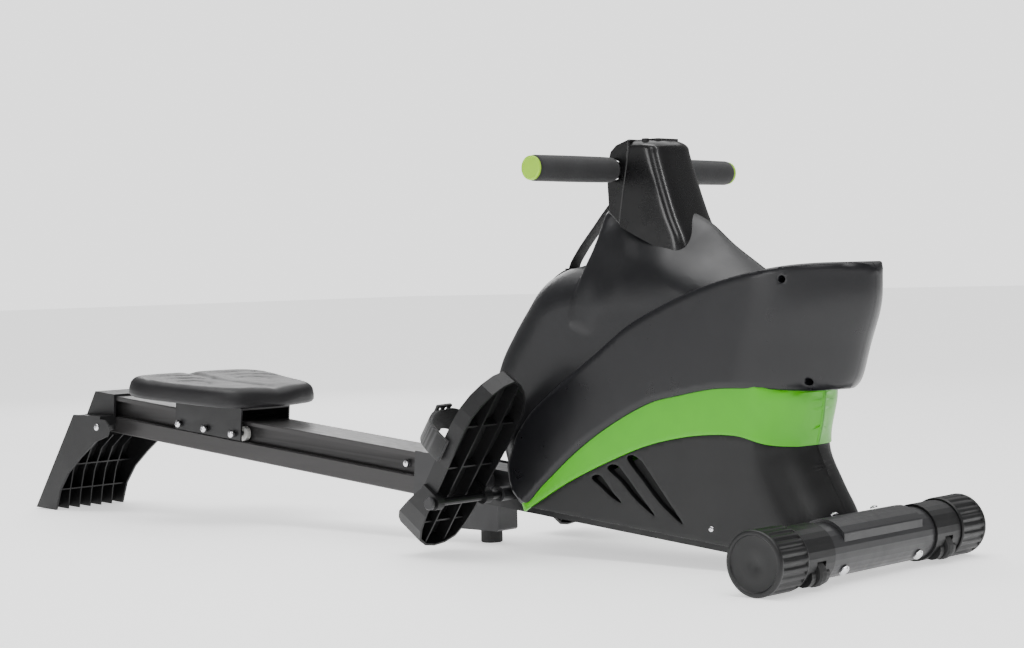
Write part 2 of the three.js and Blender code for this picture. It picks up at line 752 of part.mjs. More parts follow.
// In the pedal's own frame X runs from heel to toe, Y is sideways and Z is 0 on the axle and
// points to the sole of the foot. The pedal is drawn about its middle.
const pedalOutline = () => {
  const w = pedalWidth / 2;
  return smooth([
    [pedalHeel, 0], [pedalHeel + 12, w * 0.62], [pedalHeel + 50, w * 0.86],
    [40, w * 0.92], [110, w], [155, w * 0.92], [190, w * 0.55], [pedalToe, 0],
    [190, -w * 0.55], [155, -w * 0.92], [110, -w], [40, -w * 0.92],
    [pedalHeel + 50, -w * 0.86], [pedalHeel + 12, -w * 0.62],
  ], 26);
};

const insetOutline = (points, inset) => {
  const cx = (pedalHeel + pedalToe) / 2;
  const half = (pedalToe - pedalHeel) / 2;
  const kx = (half - inset) / half;
  const ky = (pedalWidth / 2 - inset) / (pedalWidth / 2);
  return points.map(([x, y]) => [cx + (x - cx) * kx, y * ky]);
};

const pedalShape = () => {
  const outline = pedalOutline();
  const top = pedalRim + pedalDepth;
  const outer = planSlab(shapeOf(outline), pedalRim, top);
  const inner = planSlab(shapeOf(insetOutline(outline, pedalWall)), pedalRim - 1, top - pedalWall);
  let body = outer.subtract(inner);
  const core = planSlab(shapeOf(insetOutline(outline, 1)), pedalRim + 3, top - 1);
  for (const y of [-pedalWidth / 6, pedalWidth / 6]) {
    body = body.add(box(pedalHeel, pedalToe, y - 1.5, y + 1.5, pedalRim + 3, top - 1)
      .intersect(core));
  }
  for (const x of [-50, 50, 125]) {
    body = body.add(box(x - 1.5, x + 1.5, -pedalWidth / 2, pedalWidth / 2, pedalRim + 8, top - 1)
      .intersect(core));
  }
  // the heel cup stands round the heel, on the foot's side
  const cup = planSlab(shapeOf(outline), top - 1, top + heelCupHeight)
    .subtract(planSlab(shapeOf(insetOutline(outline, pedalWall + 1)), top - 2,
      top + heelCupHeight + 1))
    .intersect(sideSlab(shapeOf([
      [pedalHeel - 1, top - 2], [8, top - 2], [-8, top + 6], [-62, top + heelCupHeight],
      [-74, top + heelCupHeight], [pedalHeel - 1, top + 6],
    ]), -100, 100));
  body = body.add(cup);
  // two lugs hang under the pedal and ride on the axle
  for (const y of [-pedalWidth / 2 + 7, pedalWidth / 2 - 7]) {
    body = body.add(rodY(11, 0, 0, y - 7, y + 7, 20)
      .add(box(-11, 11, y - 7, y + 7, 0, top - 2)));
  }
  return body.subtract(rodY(pedalAxleRadius + gap, 0, 0, -100, 100));
};

// The foot strap arches over the foot and is held in a slot of each side wall.
const footStrap = () => {
  const half = pedalWidth / 2;
  const base = pedalRim + pedalDepth;
  const out = half + gap;
  const low = base - 12;
  const t = strapThickness;
  const arch = (inset) => {
    const w = out + t - inset;
    const h = base + strapArch - inset;
    return smooth([
      [-w, low], [-w, base + 8], [-w * 0.86, base + strapArch * 0.62],
      [-w * 0.45, h - 5], [0, h], [w * 0.45, h - 5], [w * 0.86, base + strapArch * 0.62],
      [w, base + 8], [w, low],
    ], 20, false);
  };
  const outline = [...arch(0), ...arch(t).reverse()];
  return frontSlab(shapeOf(outline), strapPlace - strapWidth / 2, strapPlace + strapWidth / 2);
};

const placePedalPiece = (name, body, finish, side) => {
  const pivot = new THREE.Group();
  pivot.position.set(pedalAxleX, side * pedalMiddle, pedalAxleZ);
  pivot.rotation.y = -pedalTilt;
  machine.add(pivot);
  add(name, body, finish, pivot);
};

add('pedal_axle', pedalAxle(), finishes.steel);
for (const [name, side] of [['right', -1], ['left', 1]]) {
  placePedalPiece(`${name}_pedal`, pedalShape(), finishes.plastic, side);
  placePedalPiece(`${name}_foot_strap`, footStrap(), finishes.web, side);
}

// ---------------------------------------------------------------- housing

// Outline of the shells on the middle plane: up the rear shoulder, over the top, down the nose.
// Below the cut line it only has to reach far enough down.
const cutHeight = 25;                // underside of the shells above the beam's line
const shellOutline = [
  [-560, -110], [-566, 0], [-594, 80], [-620, 165], [-632, 235], [-617, 288],
  [-588, 333], [-560, 369], [-530, 403], [-498, 420], [-450, 430], [-380, 432],
  [-300, 430], [-220, 418], [-145, 388], [-92, 340], [-64, 285], [-58, 240],
  [-70, 172], [-50, 125], [-27, 83], [-12, 30], [-12, -110],
];
const towerOutline = [
  [-478, 380], [-452, 424], [-440, 452], [-428, 486], [-414, 512], [-392, 520], [-340, 520],
  [-300, 506], [-262, 492], [-238, 478], [-204, 450], [-156, 417], [-110, 384], [-130, 330],
  [-300, 300], [-450, 330],
];
const visorOutline = [
  [-548, 178], [-533, 197], [-520, 211], [-476, 244], [-392, 299], [-331, 339], [-271, 366],
  [-214, 387], [-150, 404], [-65, 418], [0, 421], [24, 419], [31, 411], [28, 364],
  [10, 310], [-6, 262], [-16, 250], [-48, 249], [-115, 252], [-180, 251], [-246, 240],
  [-292, 230], [-360, 200], [-430, 158], [-500, 104], [-536, 76], [-560, 92], [-570, 130],
];
const bandLower = [
  [-70, 172], [-100, 176], [-141, 187], [-190, 188], [-244, 182], [-300, 170], [-353, 152],
  [-449, 112], [-509, 80], [-545, 60],
];

const visorHalf = housingHalf + visorStep;

// Front of the housing seen from above: rounded to a blunt nose.
const nosePlan = (tipX, half, reach) => {
  const points = [];
  const steps = 8;
  for (let i = 0; i <= steps; i += 1) {
    const angle = (i / steps) * Math.PI - Math.PI / 2;
    points.push([tipX - reach + reach * Math.cos(angle), half * Math.sin(angle)]);
  }
  return shapeOf([[-900, -half], ...points, [-900, half]]);
};

// The same plan carried up so that its tip leans with the line from chin to tip.
const leaningNose = (tip, chin, half, reach, inset) => {
  const lean = (tip[0] - chin[0]) / (tip[1] - chin[1]);
  const leaning = new THREE.Matrix4().set(
    1, 0, lean, -lean * tip[1], 0, 1, 0, 0, 0, 0, 1, 0, 0, 0, 0, 1);
  return solid(extrude(nosePlan(tip[0] - inset, half - inset, reach), 700)
    .applyMatrix4(leaning));
};

const shellBody = (inset) => {
  const inside = inset > 0;
  const line = smooth(shellOutline.slice(1, -1), inside ? 34 : 44, false);
  return pillow(shapeOf(offsetInwards(line, inset)), housingHalf - inset, crown,
    crownDepth - inset / 2, inside ? 3 : 5);
};

// Moves every point of an open outline inwards along its normal and closes it far below.
function offsetInwards(points, inset) {
  const moved = points.map(([x, z], i) => {
    const a = points[Math.max(i - 1, 0)];
    const b = points[Math.min(i + 1, points.length - 1)];
    const length = Math.hypot(b[0] - a[0], b[1] - a[1]);
    return [x + ((b[1] - a[1]) / length) * inset, z - ((b[0] - a[0]) / length) * inset];
  });
  return [[moved[0][0], -110], ...moved, [moved[moved.length - 1][0], -110]];
}

const towerFlare = (inset) => {
  const half = (z) => {
    const t = THREE.MathUtils.clamp((z - 372) / 120, 0, 1);
    const ease = t * t * (3 - 2 * t);
    return housingHalf - inset - 24 * ease;
  };
  const levels = [250, 372, 396, 420, 444, 468, 492, 530];
  const right = levels.map((z) => [half(z), z]);
  const left = levels.slice().reverse().map((z) => [-half(z), z]);
  return frontSlab(shapeOf([...right, ...left]), -700, 0);
};

const towerBody = (inset) => {
  const outline = inset ? insetLoop(towerOutline, inset) : towerOutline;
  return pillow(shapeOf(outline), housingHalf - inset, 18, 18, 3).intersect(towerFlare(inset));
};

// Moves every point of a closed clockwise outline inwards.
function insetLoop(points, inset) {
  const n = points.length;
  return points.map(([x, z], i) => {
    const a = points[(i + n - 1) % n];
    const b = points[(i + 1) % n];
    const length = Math.hypot(b[0] - a[0], b[1] - a[1]);
    return [x + ((b[1] - a[1]) / length) * inset, z - ((b[0] - a[0]) / length) * inset];
  });
}

const halfSpace = (side) => (side < 0
  ? box(-900, 200, -200, -gap / 2, -200, 800)
  : box(-900, 200, gap / 2, 200, -200, 800));

// Everything under the shells' lower edge, with an arch that clears the stabiliser.
const underCut = () => {
  const low = (x) => beamZ(x, cutHeight);
  const body = sideSlab(shapeOf([
    [-900, -200], [200, -200], [200, low(200)], [-900, low(-900)],
  ]), -200, 200);
  return body.add(rodY(tubeRadius + 9, 0, capRadius, -200, 200, 40));
};


// The seam between the upper and the lower shells runs along the lower edge of the band.
const bandEnd = bandLower[bandLower.length - 1];
const seamRegion = (side) => {
  const line = [[200, bandLower[0][1]], ...bandLower, [bandEnd[0], -200]]
    .map(([x, z]) => [x, z + (side * gap) / 2]);
  const far = side > 0
    ? [[-900, -200], [-900, 900], [200, 900]]
    : [[200, -200]];
  return sideSlab(shapeOf([...line, ...far]), -300, 300);
};

const bandCeiling = visorOutline.slice(16, 26);
const bandRegion = () => {
  const upper = bandCeiling.map(([x, z]) => [x, z - gap]);
  return sideSlab(shapeOf([
    [60, bandLower[0][1]], ...bandLower, ...upper.reverse(), [60, upper[upper.length - 1][1]],
  ]), -300, 300);
};

// The head of the tower: a rounded hood, cut off by a rear panel that cradles the handle.
const headOutline = [
  [-392, 500], [-395, 560], [-387, 590], [-352, 606], [-322, 606], [-304, 597], [-297, 575],
  [-284, 535], [-268, 490], [-252, 462], [-256, 443], [-274, 440], [-320, 456], [-371, 481],
];
const headTip = [-302, 597];
const headChin = [-248, 450];
const headBody = (inset) => pillow(
  shapeOf(insetLoop(headOutline, inset)), headHalf - inset, 7, 8, 2)
  .intersect(leaningNose(headTip, headChin, headHalf, headReach, inset));

// The beam, the pedal axle's cross tube and the magnet's pivot need room in the shells.
const housingRoom = () => {
  const beam = fromBeam(box(-900, 200, -beamWidth / 2 - 2, beamWidth / 2 + 2, -100, beamTop + 2));
  const notch = box(-700, pedalAxleX + 16, -200, 200, -100, pedalAxleZ + 15);
  return beam.add(notch);
};

const shellRing = () => {
  const outer = shellBody(0).add(towerBody(0));
  const inner = shellBody(shellWall).add(towerBody(shellWall));
  return outer.subtract(inner).subtract(underCut()).subtract(housingRoom())
    .subtract(headBody(-gap))
    .subtract(spineBody(gap, 14))
    .subtract(rodY(knobShaftRadius + gap, knobX, knobZ, 0, 200, 16));
};

// The glossy spine covers the seam from the foot of the tower over the shoulder and down, and
// has the slot that the tow strap comes out of.
const spinePath = [
  [-404, 512], [-420, 490], [-436, 456], [-449, 428], [-470, 420], [-498, 420], [-530, 403],
  [-560, 369], [-588, 333], [-617, 288], [-632, 235], [-620, 165], [-606, 120],
];
const spineBody = (slack, proud = 1.5) => {
  const outer = offsetLine(spinePath, proud);
  const inner = offsetLine(spinePath, -shellWall - 2 - slack);
  return sideSlab(shapeOf([...outer, ...inner.reverse()]), -spineHalf - slack, spineHalf + slack);
};

// Moves an open line that runs down and back to its outer side.
function offsetLine(points, distance) {
  return points.map(([x, z], i) => {
    const a = points[Math.max(i - 1, 0)];
    const b = points[Math.min(i + 1, points.length - 1)];
    const length = Math.hypot(b[0] - a[0], b[1] - a[1]);
    return [x + ((b[1] - a[1]) / length) * distance, z - ((b[0] - a[0]) / length) * distance];
  });
}

// The visor's nose is rounded in plan at every height.
const visorTip = [31, 411];
const visorChin = [-16, 250];
const visorBody = (inset) => pillow(
  shapeOf(insetLoop(visorOutline, inset)), visorHalf - inset, 5, 5, 2)
  .intersect(leaningNose(visorTip, visorChin, visorHalf, visorReach, inset));

const ring = shellRing();
const around = shellBody(-gap).add(towerBody(-gap));
const band = shellBody(-bandStep).subtract(around).intersect(bandRegion())
  .subtract(underCut());
const visor = visorBody(0).subtract(visorBody(shellWall)).subtract(around)
  .subtract(housingRoom());
for (const [name, side] of [['right', -1], ['left', 1]]) {
  const half = halfSpace(side);
  add(`${name}_upper_shell`, ring.intersect(half).intersect(seamRegion(1)), finishes.shell);
  add(`${name}_lower_shell`, ring.intersect(half).intersect(seamRegion(-1)), finishes.shell);
  add(`${name}_green_band`, band.intersect(half), finishes.green);
  add(`${name}_visor`, visor.intersect(half), finishes.gloss);
}

const spine = () => {
  const slot = box(slotX - 5, slotX + 5, -towStrapWidth / 2 - 2, towStrapWidth / 2 + 2, 380, 440);
  return spineBody(0).subtract(slot).subtract(headBody(-gap));
};
add('strap_guide', spine(), finishes.gloss);

// ---------------------------------------------------------------- console head

const cradleCut = (slack) => rodY(cradleRadius + slack, handleX, handleZ, -80, 80, 20)
  .add(box(-500, handleX, -80, 80, handleZ - cradleRadius - slack,
    handleZ + cradleRadius + slack));
const panelLine = (slack) => sideSlab(shapeOf([
  [-372 + slack, 400], [-371 + slack, 481], [-350 + slack, 591], [-346 + slack, 640], [-100, 640],
  [-100, 400],
]), -100, 100);

const hood = () => {
  const bottom = sideSlab(shapeOf([
    [-380, 400], [-380, 484], [-320, 468], [-292, 452], [-274, 449], [-262, 462], [-250, 480],
    [-200, 480], [-200, 400],
  ]), -40, 40);
  const window = box(lcdX - lcdLength / 2 - gap, lcdX + lcdLength / 2 + gap,
    -lcdWidth / 2 - gap, lcdWidth / 2 + gap, 590, 620);
  const button = rodZ(buttonRadius + gap, buttonX, buttonY, 580, 620, 16);
  return headBody(0).subtract(headBody(headWall)).intersect(panelLine(gap))
    .subtract(bottom)
    .subtract(window)
    .subtract(button);
};

const rearPanel = () => {
  const strapHalf = towStrapWidth / 2 + 3;
  const strapRoom = rodY(handleBarRadius + towStrapThickness + 3, handleX, handleZ, -strapHalf,
    strapHalf).add(box(-500, handleX - handleBarRadius + 4, -strapHalf, strapHalf, 400, handleZ));
  const outside = headBody(0).subtract(panelLine(0)).subtract(cradleCut(0)).subtract(strapRoom);
  const hollow = headBody(headWall).subtract(cradleCut(headWall))
    .subtract(box(-500, -300, -100, 100, 400, 492));
  return outside.subtract(hollow);
};

const lcdWindow = () => box(lcdX - lcdLength / 2, lcdX + lcdLength / 2, -lcdWidth / 2,
  lcdWidth / 2, lcdTop - 4, lcdTop);

const modeButton = () => rodZ(buttonRadius, buttonX, buttonY, buttonTop - 14, buttonTop, 14)
  .add(rodZ(buttonRadius + 2, buttonX, buttonY, buttonTop - 17, buttonTop - 14, 14));

add('console_hood', hood(), finishes.gloss);
add('console_rear_panel', rearPanel(), finishes.gloss);
add('lcd_window', lcdWindow(), finishes.lcd);
add('mode_button', modeButton(), finishes.plastic);

// ---------------------------------------------------------------- tension knob and drive

const tensionKnob = () => {
  const face = housingHalf + gap;
  const r = knobRadius;
  const geometry = turned([
    [0, 58], [knobShaftRadius, 58], [knobShaftRadius, face], [r, face], [r, face + 4],
    [r - 2, face + knobHeight - 2], [r - 4, face + knobHeight - 4], [0, face + knobHeight - 4],
  ], 20);
  const ridge = box(-r + 4, r - 4, face + knobHeight - 6, face + knobHeight, -3, 3);
  return solid(geometry).add(ridge).translate([knobX, 0, knobZ]);
};
add('tension_knob', tensionKnob(), finishes.plastic);

const bore = driveAxleRadius + gap;
const beltInner = beltPlane + beltWidth / 2;
const beltOuter = beltPlane - beltWidth / 2;
const flywheel = turned([
  [bore, beltOuter - 1], [smallPulleyRadius, beltOuter - 1], [smallPulleyRadius, beltInner + 1],
  [13, beltInner + 1], [13, -5], [flywheelRadius - 22, -5],
  [flywheelRadius - 20, -flywheelWidth / 2], [flywheelRadius, -flywheelWidth / 2],
  [flywheelRadius, flywheelWidth / 2], [flywheelRadius - 20, flywheelWidth / 2],
  [flywheelRadius - 22, 5], [13, 5], [13, 34], [bore, 34], [bore, beltOuter - 1],
], 24).translate(flywheelX, 0, flywheelZ);

const drum = turned([
  [bore, beltOuter], [pulleyRadius, beltOuter], [pulleyRadius, beltInner],
  [drumRadius + 8, -drumWidth / 2 - 3], [drumRadius + 8, -drumWidth / 2],
  [drumRadius, -drumWidth / 2], [drumRadius, drumWidth / 2], [drumRadius + 8, drumWidth / 2],
  [drumRadius + 8, drumWidth / 2 + 2], [bore, drumWidth / 2 + 2], [bore, beltOuter],
], 22).translate(drumX, 0, drumZ);

const axle = (x, z) => turned([
  [0, -sidePlateHalf - 8], [driveAxleRadius, -sidePlateHalf - 8],
  [driveAxleRadius, sidePlateHalf + 8], [0, sidePlateHalf + 8],
], 16).translate(x, 0, z);

// The belt's outline round both pulleys, at a distance outside them.
const beltLoop = (away) => {
  const dx = flywheelX - drumX;
  const dz = flywheelZ - drumZ;
  const toward = Math.atan2(dz, dx);
  const spread = Math.acos((pulleyRadius - smallPulleyRadius) / Math.hypot(dx, dz));
  const points = [];
  const arc = (x, z, radius, from, to, steps) => {
    for (let i = 0; i <= steps; i += 1) {
      const angle = toward + from + ((to - from) * i) / steps;
      points.push([x + (radius + away) * Math.cos(angle), z + (radius + away) * Math.sin(angle)]);
    }
  };
  arc(drumX, drumZ, pulleyRadius, spread, 2 * Math.PI - spread, 18);
  arc(flywheelX, flywheelZ, smallPulleyRadius, -spread, spread, 8);
  return shapeOf(points);
};
const beltBody = sideSlab(beltLoop(beltSlack + beltThickness), beltOuter + gap, beltInner - gap)
  .subtract(sideSlab(beltLoop(beltSlack), beltOuter - 1, beltInner + 1));

// Magnets on both sides of the flywheel's rim, on a bracket that swings away from it.
const magnetBracket = () => {
  const sector = (radius, y0, y1) => {
    const points = [];
    for (let i = 0; i <= 10; i += 1) {
      const angle = THREE.MathUtils.degToRad(52 + i * 7);
      points.push([flywheelX + radius * Math.cos(angle), flywheelZ + radius * Math.sin(angle)]);
    }
    for (let i = 10; i >= 0; i -= 1) {
      const angle = THREE.MathUtils.degToRad(52 + i * 7);
      const inside = flywheelRadius - 12;
      points.push([flywheelX + inside * Math.cos(angle), flywheelZ + inside * Math.sin(angle)]);
    }
    return sideSlab(shapeOf(points), y0, y1);
  };
  const outside = flywheelRadius + 10;
  const web = rodY(flywheelRadius + 5, flywheelX, flywheelZ, -20, 20, 32);
  const cheek = flywheelWidth / 2 + 2;
  const arc = sector(outside, -cheek - 4, cheek + 4);
  const channel = web.intersect(box(-500, 0, -cheek, cheek, 0, 500));
  const pin = rodY(bracketPinRadius, bracketX, bracketZ, -sidePlateHalf - 6, sidePlateHalf + 6, 12);
  const lug = rodY(13, bracketX, bracketZ, -10, 10, 16);
  return arc.subtract(channel).add(lug).add(pin);
};

// A flat coil spring beside the drum winds the strap back in.
const recoilSpring = () => {
  const turns = 3;
  const steps = turns * 12;
  const thickness = 1.4;
  const line = (extra) => {
    const points = [];
    for (let i = 0; i <= steps; i += 1) {
      const angle = (i / steps) * turns * 2 * Math.PI;
      const radius = 12 + (22 * i) / steps + extra;
      points.push([drumX + radius * Math.cos(angle), drumZ + radius * Math.sin(angle)]);
    }
    return points;
  };
  const outline = [...line(0), ...line(thickness).reverse()];
  return sideSlab(shapeOf(outline), drumWidth / 2 + 6, drumWidth / 2 + 20);
};

add('flywheel', flywheel, finishes.iron);
add('flywheel_axle', axle(flywheelX, flywheelZ), finishes.steel);
add('strap_drum', drum, finishes.plastic);
add('drum_axle', axle(drumX, drumZ), finishes.steel);
add('drive_belt', beltBody, finishes.rubber);
add('magnet_bracket', magnetBracket(), finishes.iron);
add('recoil_spring', recoilSpring(), finishes.iron);

// ---------------------------------------------------------------- handle and tow strap

const handleHalf = handleLength / 2;
const handleBar = rodY(handleBarRadius, handleX, handleZ, -handleHalf, handleHalf, 20);

const grip = () => {
  const outer = handleHalf - gripCapThickness;
  const inner = outer - gripLength;
  const hole = handleBarRadius + gap;
  return turned([
    [hole, -outer], [gripRadius - 1.5, -outer], [gripRadius, -outer + 1.5],
    [gripRadius, -inner - 2], [gripRadius - 2, -inner], [hole, -inner], [hole, -outer],
  ], 20).translate(handleX, 0, handleZ);
};

const gripCap = () => {
  const inner = handleHalf - gripCapThickness + gap;
  const outer = handleHalf + 1.5;
  const hole = handleBarRadius + gap;
  return turned([
    [hole, -inner], [hole, -handleHalf - gap], [0, -handleHalf - gap], [0, -outer],
    [gripRadius - 4, -outer], [gripRadius - 2, -outer + 1.5], [gripRadius - 2, -inner],
    [hole, -inner],
  ], 20).translate(handleX, 0, handleZ);
};

// The strap runs straight off the front of the drum's top, passes the slot in the spine and loops
// round the bar.
const towStrap = () => {
  const loop = handleBarRadius + gap;
  const t = towStrapThickness;
  const onDrum = drumRadius + gap + t / 2;
  const inSlot = [slotX + 14, 380];
  const toSlot = [inSlot[0] - drumX, inSlot[1] - drumZ];
  const leaves = Math.atan2(toSlot[1], toSlot[0])
    - Math.acos(onDrum / Math.hypot(toSlot[0], toSlot[1]));
  const path = [
    [drumX + onDrum * Math.cos(leaves), drumZ + onDrum * Math.sin(leaves)], inSlot,
    [slotX - 1, 404], [slotX + 1, 424], [slotX + 16, 446],
    [handleX - loop - 2.5, handleZ - 22],
    [handleX - loop - 1, handleZ],
  ];
  const line = (way) => offsetLine(path, (way * t) / 2);
  const ribbon = sideSlab(shapeOf([...line(1), ...line(-1).reverse()]),
    -towStrapWidth / 2, towStrapWidth / 2);
  const around = rodY(loop + t, handleX, handleZ, -towStrapWidth / 2, towStrapWidth / 2, 20)
    .subtract(rodY(loop, handleX, handleZ, -40, 40, 20));
  return ribbon.add(around).subtract(rodY(loop, handleX, handleZ, -40, 40, 20));
};

add('handle_bar', handleBar, finishes.steel);
addPair('grip', grip(), finishes.foam);
addPair('grip_cap', gripCap(), finishes.lime);
add('tow_strap', towStrap(), finishes.web);

// The machine stands over the origin.
const front = Math.max(capRadius, wheelForward + wheelRadius);
const rear = Math.min(...leafPoints.map(([x]) => x));
machine.position.x = -(front + rear) / 2;

export default machine;
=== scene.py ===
"""Looks for a folding rowing machine: detailed housing, seat, foot plates, feet and materials around
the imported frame. Metres. Rail pieces are laid out on the tilted line of the beam."""

import math

import bmesh
import bpy
import numpy as np
from mathutils import Matrix, Vector
from mathutils.geometry import delaunay_2d_cdt


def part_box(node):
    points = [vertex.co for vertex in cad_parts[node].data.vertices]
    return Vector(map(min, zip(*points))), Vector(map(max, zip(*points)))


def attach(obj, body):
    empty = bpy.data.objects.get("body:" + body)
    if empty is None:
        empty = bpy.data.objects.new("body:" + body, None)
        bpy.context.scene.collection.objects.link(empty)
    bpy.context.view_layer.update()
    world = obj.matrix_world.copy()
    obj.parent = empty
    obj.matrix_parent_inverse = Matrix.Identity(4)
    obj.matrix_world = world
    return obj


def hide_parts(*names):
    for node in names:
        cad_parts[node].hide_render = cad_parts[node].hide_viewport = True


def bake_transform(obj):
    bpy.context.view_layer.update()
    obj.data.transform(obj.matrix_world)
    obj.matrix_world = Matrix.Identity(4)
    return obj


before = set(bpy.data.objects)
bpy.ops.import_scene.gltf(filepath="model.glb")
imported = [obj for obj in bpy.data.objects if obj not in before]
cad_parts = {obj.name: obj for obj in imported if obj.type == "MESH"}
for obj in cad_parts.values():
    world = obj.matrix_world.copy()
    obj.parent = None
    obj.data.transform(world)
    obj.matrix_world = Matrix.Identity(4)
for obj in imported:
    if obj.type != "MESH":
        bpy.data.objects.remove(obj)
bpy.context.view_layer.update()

# ---------------------------------------------------------------- places taken from the frame

CAP_LOW, CAP_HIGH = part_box("right_end_cap")
TUBE_X = (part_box("stabiliser_tube")[0][0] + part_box("stabiliser_tube")[1][0]) / 2
TUBE_Z = (CAP_LOW[2] + CAP_HIGH[2]) / 2
TILT = math.radians(5.473)            # slope of the beam and the rail
BEAM_BASE = -0.0058                   # height of their line under the stabiliser
ON_BEAM = Matrix.Translation((TUBE_X, 0, BEAM_BASE)) @ Matrix.Rotation(TILT, 4, "Y")
MM = 0.001
SIDES = (("right", -1), ("left", 1))
HANDLE_X, HANDLE_Z = TUBE_X - 0.380, 0.562

# the camera: its place from the stabiliser, its turn in degrees and its lens in millimetres
CAMERA_AT = (TUBE_X + 1.6005, -2.4348, 0.4161)
CAMERA_AZIMUTH, CAMERA_DOWN, CAMERA_ROLL = 42.478, 1.333, -1.493
CAMERA_LENS = 75.49

# the stage: half the floor's side, and the strengths of its glow, the room and the backdrop
FLOOR_HALF, FLOOR_GLOW, ROOM, BACKDROP = 30, 0.85, 0.26, 2.5
SUN_POWER, SUN_SPREAD, SUN_TURN = 2.1, 80, (-14, -8, 0)      # the last two in degrees
AREA_LIGHTS = (                      # name, place, aim, width, height if not square, power
    ("top", (0.1, -0.5, 3.4), (0, 0, 0.3), 3.0, 1.2, 60),
    ("key", (1.9, -3.0, 2.6), (0.3, 0, 0.3), 1.2, None, 22),
    ("nose_strip", (2.7, -0.7, 2.4), (0.8, 0, 0.2), 0.25, 2.0, 22),
    ("head_box", (-0.6, -3.2, 1.0), (0.4, 0, 0.5), 0.9, None, 16),
    ("rear_fill", (-3.0, 2.4, 1.8), (-0.3, 0, 0.2), 1.4, None, 24))


def place(points):
    """Points laid out in millimetres from the stabiliser's axis, in the frame's metres."""
    return [(TUBE_X + x * MM, z * MM) for x, z in points]


# ---------------------------------------------------------------- camera, light and floor

def make_camera():
    azimuth, down, roll = (math.radians(v)
                           for v in (CAMERA_AZIMUTH, CAMERA_DOWN, CAMERA_ROLL))
    look = Vector((-math.sin(azimuth) * math.cos(down), math.cos(azimuth) * math.cos(down),
                   -math.sin(down)))
    right = Vector((math.cos(azimuth), math.sin(azimuth), 0))
    up = right.cross(look)
    r = math.cos(roll) * right + math.sin(roll) * up
    u = -math.sin(roll) * right + math.cos(roll) * up
    data = bpy.data.cameras.new("camera")
    data.lens = CAMERA_LENS
    data.sensor_width = 36
    data.clip_end = 100
    camera = bpy.data.objects.new("camera", data)
    bpy.context.collection.objects.link(camera)
    rotation = Matrix((r, u, -look)).transposed()
    camera.matrix_world = Matrix.Translation(CAMERA_AT) @ rotation.to_4x4()
    bpy.context.scene.camera = camera


def area_light(name, place_at, target, size, size_y, power):
    data = bpy.data.lights.new(name, "AREA")
    data.energy = power
    data.size = size
    if size_y:
        data.shape = "RECTANGLE"
        data.size_y = size_y
    light = bpy.data.objects.new(name, data)
    bpy.context.collection.objects.link(light)
    light.location = place_at
    light.rotation_mode = "QUATERNION"
    light.rotation_quaternion = (Vector(target) - Vector(place_at)).to_track_quat("-Z", "Y")


def make_stage():
    mesh = bpy.data.meshes.new("floor")
    corners = [(x * FLOOR_HALF, y * FLOOR_HALF, 0) for x, y in ((-1, -1), (1, -1), (1, 1), (-1, 1))]
    mesh.from_pydata(corners, [], [(0, 1, 2, 3)])
    floor = bpy.data.objects.new("floor", mesh)
    bpy.context.collection.objects.link(floor)
    surface, shader = new_material("floor")
    shader.inputs["Base Color"].default_value = (0.93, 0.93, 0.93, 1)
    shader.inputs["Roughness"].default_value = 0.65
    shader.inputs["Emission Color"].default_value = (1, 1, 1, 1)
    shader.inputs["Emission Strength"].default_value = FLOOR_GLOW
    floor.data.materials.append(surface)
    world = bpy.data.worlds.new("studio")
    world.use_nodes = True
    nodes, links = world.node_tree.nodes, world.node_tree.links
    around = nodes["Background"]
    around.inputs["Color"].default_value = (1, 1, 1, 1)
    around.inputs["Strength"].default_value = ROOM
    behind = nodes.new("ShaderNodeBackground")
    behind.inputs["Strength"].default_value = BACKDROP
    mix = nodes.new("ShaderNodeMixShader")
    links.new(nodes.new("ShaderNodeLightPath").outputs["Is Camera Ray"], mix.inputs["Fac"])
    links.new(around.outputs["Background"], mix.inputs[1])
    links.new(behind.outputs["Background"], mix.inputs[2])
    links.new(mix.outputs["Shader"], nodes["World Output"].inputs["Surface"])
    bpy.context.scene.world = world
    sun = bpy.data.lights.new("overhead", "SUN")
    sun.energy = SUN_POWER
    sun.angle = math.radians(SUN_SPREAD)
    overhead = bpy.data.objects.new("overhead", sun)
    bpy.context.collection.objects.link(overhead)
    overhead.rotation_euler = [math.radians(v) for v in SUN_TURN]
    for row in AREA_LIGHTS:
        area_light(*row)


# ---------------------------------------------------------------- materials

def new_material(name):
    material = bpy.data.materials.new(name)
    material.use_nodes = True
    return material, material.node_tree.nodes["Principled BSDF"]


SPECULAR = 0.42


